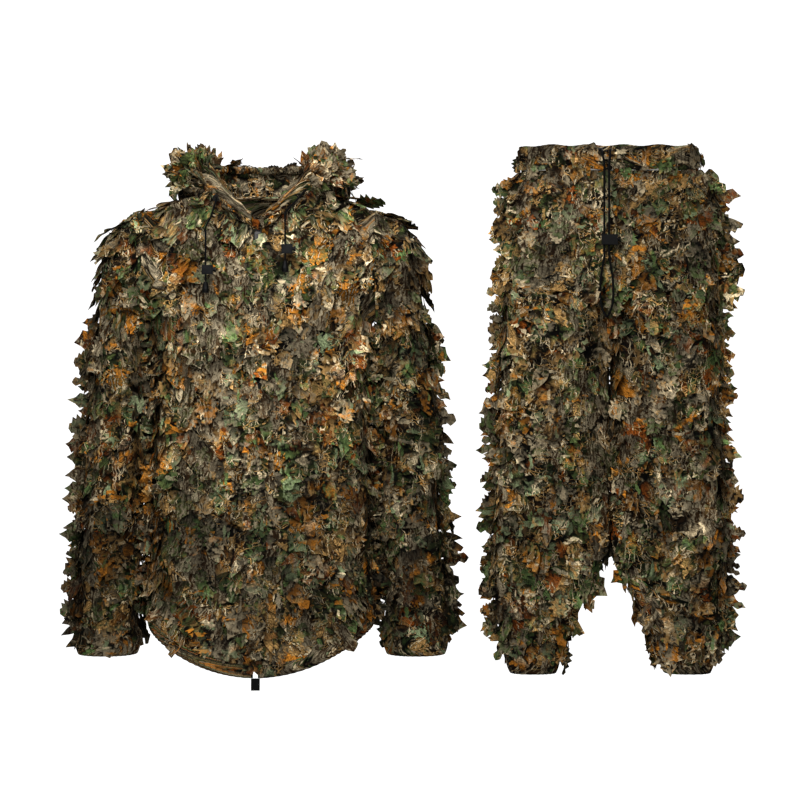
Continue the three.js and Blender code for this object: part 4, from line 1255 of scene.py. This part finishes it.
for partName, front in bothFaces:
    low = partName.lower()
    facing = np.array([0, -1.0 if front else 1.0, 0])
    middle = np.array([trousers["x"], trousers["y"], 0])
    lift = 0.85 if front else 0.6
    grid = seatGrid(front)
    outward = (grid - middle) * (0.3, 1, 0) + facing * 0.01
    leafyPanel(f"seat{partName}", grid, outward, "trousers", [f"seat_{low}"], 41 + front, fold=0.008,
               lift=lift)
    for sideName, side in bothSides:
        grid = legGrid(side, front)
        outward = (grid - middle - (side * trousers["legMiddle"], 0, 0)) * (0.5, 1, 0) + facing * 0.01
        leafyPanel(f"leg{partName}{sideName}", grid, outward, f"leg_{sideName.lower()}_body",
                   [f"leg_{low}_{sideName.lower()}"], 51 + side + 3 * front, fold=0.010, foldPitch=0.09,
                   bottom=0.018, lift=lift)

for sideName, side in bothSides:
    legBody = f"leg_{sideName.lower()}_body"
    for part, body, top, foot, column in (("seat", "trousers", 0.045, -0.165, 0),
                                          ("leg", legBody, -0.175, trousers["ankleTop"] + 0.02, 1)):
        seamZ = np.arange(top, foot, -trousers["fringePitch"])
        reach = trouserSize(part, seamZ)[column]
        seam = np.stack([trousers["x"] + side * reach, trousers["y"] + 0 * seamZ, seamZ], 1)
        replaced = [f"leg_fringe_{sideName.lower()}"] if part == "leg" else []
        long = 1.15 if part == "seat" and side > 0 else 0.8
        fringeLeaves(f"{part}Fringe{sideName}", seam, side, body, 81 + side, long, replaced)


def waistHalf(front, count=360):
    # straight run with a quarter round at each end
    depth = trousers["bandDepth"]
    straight = trousers["bandHalf"] - depth
    turns = np.linspace(np.pi, 1.5 * np.pi, 40)
    corner = np.stack([-straight + depth * np.cos(turns), depth * np.sin(turns)], 1)
    line = np.vstack([corner, (corner * (-1, 1))[::-1]])
    if not front:
        line = line * (1, -1)
    return resample(line, count)


def bandGrid(line, centre):
    # rings from the waistband's top edge down, pulled into gathers that fade toward both edges
    bandHeight = trousers["bandTop"] - trousers["bandBottom"]
    rows = []
    for share in np.linspace(0, 1, 12):
        run = np.linspace(0, 1, len(line))
        fade = math.sin(math.pi * min(share + 0.12, 1))
        pull = 0.0014 * np.sin(run * trousers["bandGathers"] * 2 * np.pi + 2 * np.sin(run * 23)) * fade
        moved = line + unit(line - centre) * (pull - 0.001)[:, None]
        z = trousers["bandTop"] - share * bandHeight + 0.0015 * np.sin(run * 37)
        rows.append(np.column_stack([moved, z]))
    return np.array(rows) + (trousers["x"], trousers["y"], 0)


for partName, front in bothFaces:
    line = waistHalf(front)
    straight = trousers["bandHalf"] - trousers["bandDepth"]
    centre = np.stack([np.clip(line[:, 0], -straight, straight), np.zeros(len(line))], 1)
    grid = bandGrid(line, centre)
    outward = np.broadcast_to(np.column_stack([unit(line - centre), np.zeros(len(line))]), grid.shape)
    random = np.random.default_rng(61 + front)
    anchors = scatterAnchors(grid, gridNormals(grid, outward), random, 0.022, 0.034, 0.004)
    leaves = makeLeaves(f"waistband{partName}Leaves", anchors, "trousers", 61 + front, lift=0.5, size=0.7)
    clothPiece(f"waistband{partName}", grid, "trousers", [f"waistband_{partName.lower()}"])

for sideName, side in bothSides:
    low = sideName.lower()
    rings = []
    for z in np.linspace(trousers["ankleTop"] + 0.008, trousers["ankleBottom"], 9):
        x0, x1, d = trouserSize("leg", z)
        turns = np.linspace(-np.pi, np.pi, 260)
        ring = roundedBox(side * x0, side * x1, d, trousers["legPower"], turns)
        rings.append((ring + (trousers["x"], trousers["y"]), z))
    middle = (trousers["x"] + side * trousers["ankleMiddle"], trousers["y"])
    gatheredBand(f"ankleCuff{sideName}", rings, f"leg_{low}_body", [f"ankle_cuff_{low}"],
                 trousers["ankleGathers"], middle)
print("trousers made")

# zip teeth

zipLook = {"pitch": 0.0032, "first": -0.004, "tooth": (0.0029, 0.0016, 0.00105), "offset": (0.0018, 0.0037)}


def makeTeeth(name, side, node):
    # a row of small tapered teeth down the leaning zip, each a closed eight-cornered block
    slope = trunk["zipSlope"]
    length = (trunk["zipTop"] - trunk["hem"]) * math.hypot(1, slope) - 0.012
    count = int(length / zipLook["pitch"])
    halfX, halfY, halfZ = zipLook["tooth"]
    corners = np.array([[x, y, z] for x in (-1, 1) for y in (-1, 1) for z in (-1, 1)], float)
    corners *= (halfX, halfY, halfZ)
    corners[:, 2] *= np.where(corners[:, 0] * side > 0, 1.4, 0.72)
    block = np.array([[0, 1, 3, 2], [4, 6, 7, 5], [0, 4, 5, 1], [2, 3, 7, 6], [0, 2, 6, 4], [1, 5, 7, 3]])
    down = zipLook["first"] - np.arange(count) * zipLook["pitch"] - (side > 0) * zipLook["pitch"] / 2
    across, out = zipLook["offset"]
    middles = np.stack([np.full(count, side * across), np.full(count, out), down], 1)
    local = corners[None] + middles[:, None]
    lean = math.atan(slope)
    y = local[..., 1] * math.cos(lean) + local[..., 2] * math.sin(lean)
    z = -local[..., 1] * math.sin(lean) + local[..., 2] * math.cos(lean)
    points = np.stack([local[..., 0], y - trunk["zipDepth"], z + trunk["zipTop"]], -1)
    faces = (block[None] + (np.arange(count) * 8)[:, None, None]).reshape(-1, 4)
    piece = buildMesh(name, points.reshape(-1, 3), [faces])
    piece.data.polygons.foreach_set("use_smooth", np.zeros(len(faces), bool))
    finishPiece(piece, "jacket", blackPlastic, [node])


makeTeeth("zipTeethLeft", -1, "zip_teeth_left")
makeTeeth("zipTeethRight", 1, "zip_teeth_right")

# floor, backdrop and light

def makeStage():
    # a profile of floor, quarter round and wall, turned about Z; its glow casts no light on the suit
    floor, wall, bend = studio["floor"], studio["wallRadius"], studio["wallBend"]
    turn = np.linspace(0, np.pi / 2, 16)
    reach = np.concatenate([[0.002, 1.5, 4.0], wall - bend + bend * np.sin(turn), [wall]])[:, None]
    height = np.concatenate([[floor] * 3, floor + bend - bend * np.cos(turn), [wall]])[:, None]
    around = np.linspace(0, 2 * np.pi, 65)
    grid = np.stack([reach * np.cos(around), reach * np.sin(around), height + 0 * around], -1)
    piece = buildMesh("backdrop", grid.reshape(-1, 3), [gridFaces(*grid.shape[:2])])
    piece.visible_diffuse = piece.visible_glossy = piece.visible_shadow = False
    material, tree, shader = newMaterial("backdrop", 0.95)
    shader.inputs["Base Color"].default_value = (studio["paint"],) * 3 + (1,)
    shader.inputs["Emission Color"].default_value = (1, 1, 1, 1)
    place = addNode(tree, "ShaderNodeNewGeometry").outputs[0]
    away = addNode(tree, "ShaderNodeVectorMath", {0: place}, operation="LENGTH").outputs["Value"]
    ramp = [studio[key] for key in ("glowFrom", "glowTo", "floorGlow", "wallGlow")]
    glow = rangeNode(tree, away, *ramp)
    tree.links.new(glow, shader.inputs["Emission Strength"])
    piece.data.materials.append(material)


def areaLight(name, place, target, size, strength):
    # turned so that its -Z points at the target
    light = bpy.data.lights.new(name, "AREA")
    light.shape = "RECTANGLE"
    light.size, light.size_y = size
    light.energy = strength
    piece = bpy.data.objects.new(name, light)
    direction = np.array(target) - np.array(place)
    piece.location = place
    piece.rotation_euler = (math.atan2(math.hypot(direction[0], direction[1]), -direction[2]), 0,
                            math.atan2(direction[0], -direction[1]) + math.pi)
    piece.visible_camera = False
    bpy.context.collection.objects.link(piece)


def makeSky():
    # the same soft white from every direction
    world = bpy.data.worlds.new("sky")
    world.use_nodes = True
    background = world.node_tree.nodes["Background"]
    background.inputs[0].default_value = (1, 1, 1, 1)
    background.inputs[1].default_value = studio["skyStrength"]
    bpy.context.scene.world = world


makeStage()
for lightName, lightFacts in studio["lights"].items():
    areaLight(lightName, *lightFacts)
makeSky()
bpy.context.scene.view_settings.view_transform = "Standard"
print("stage made")
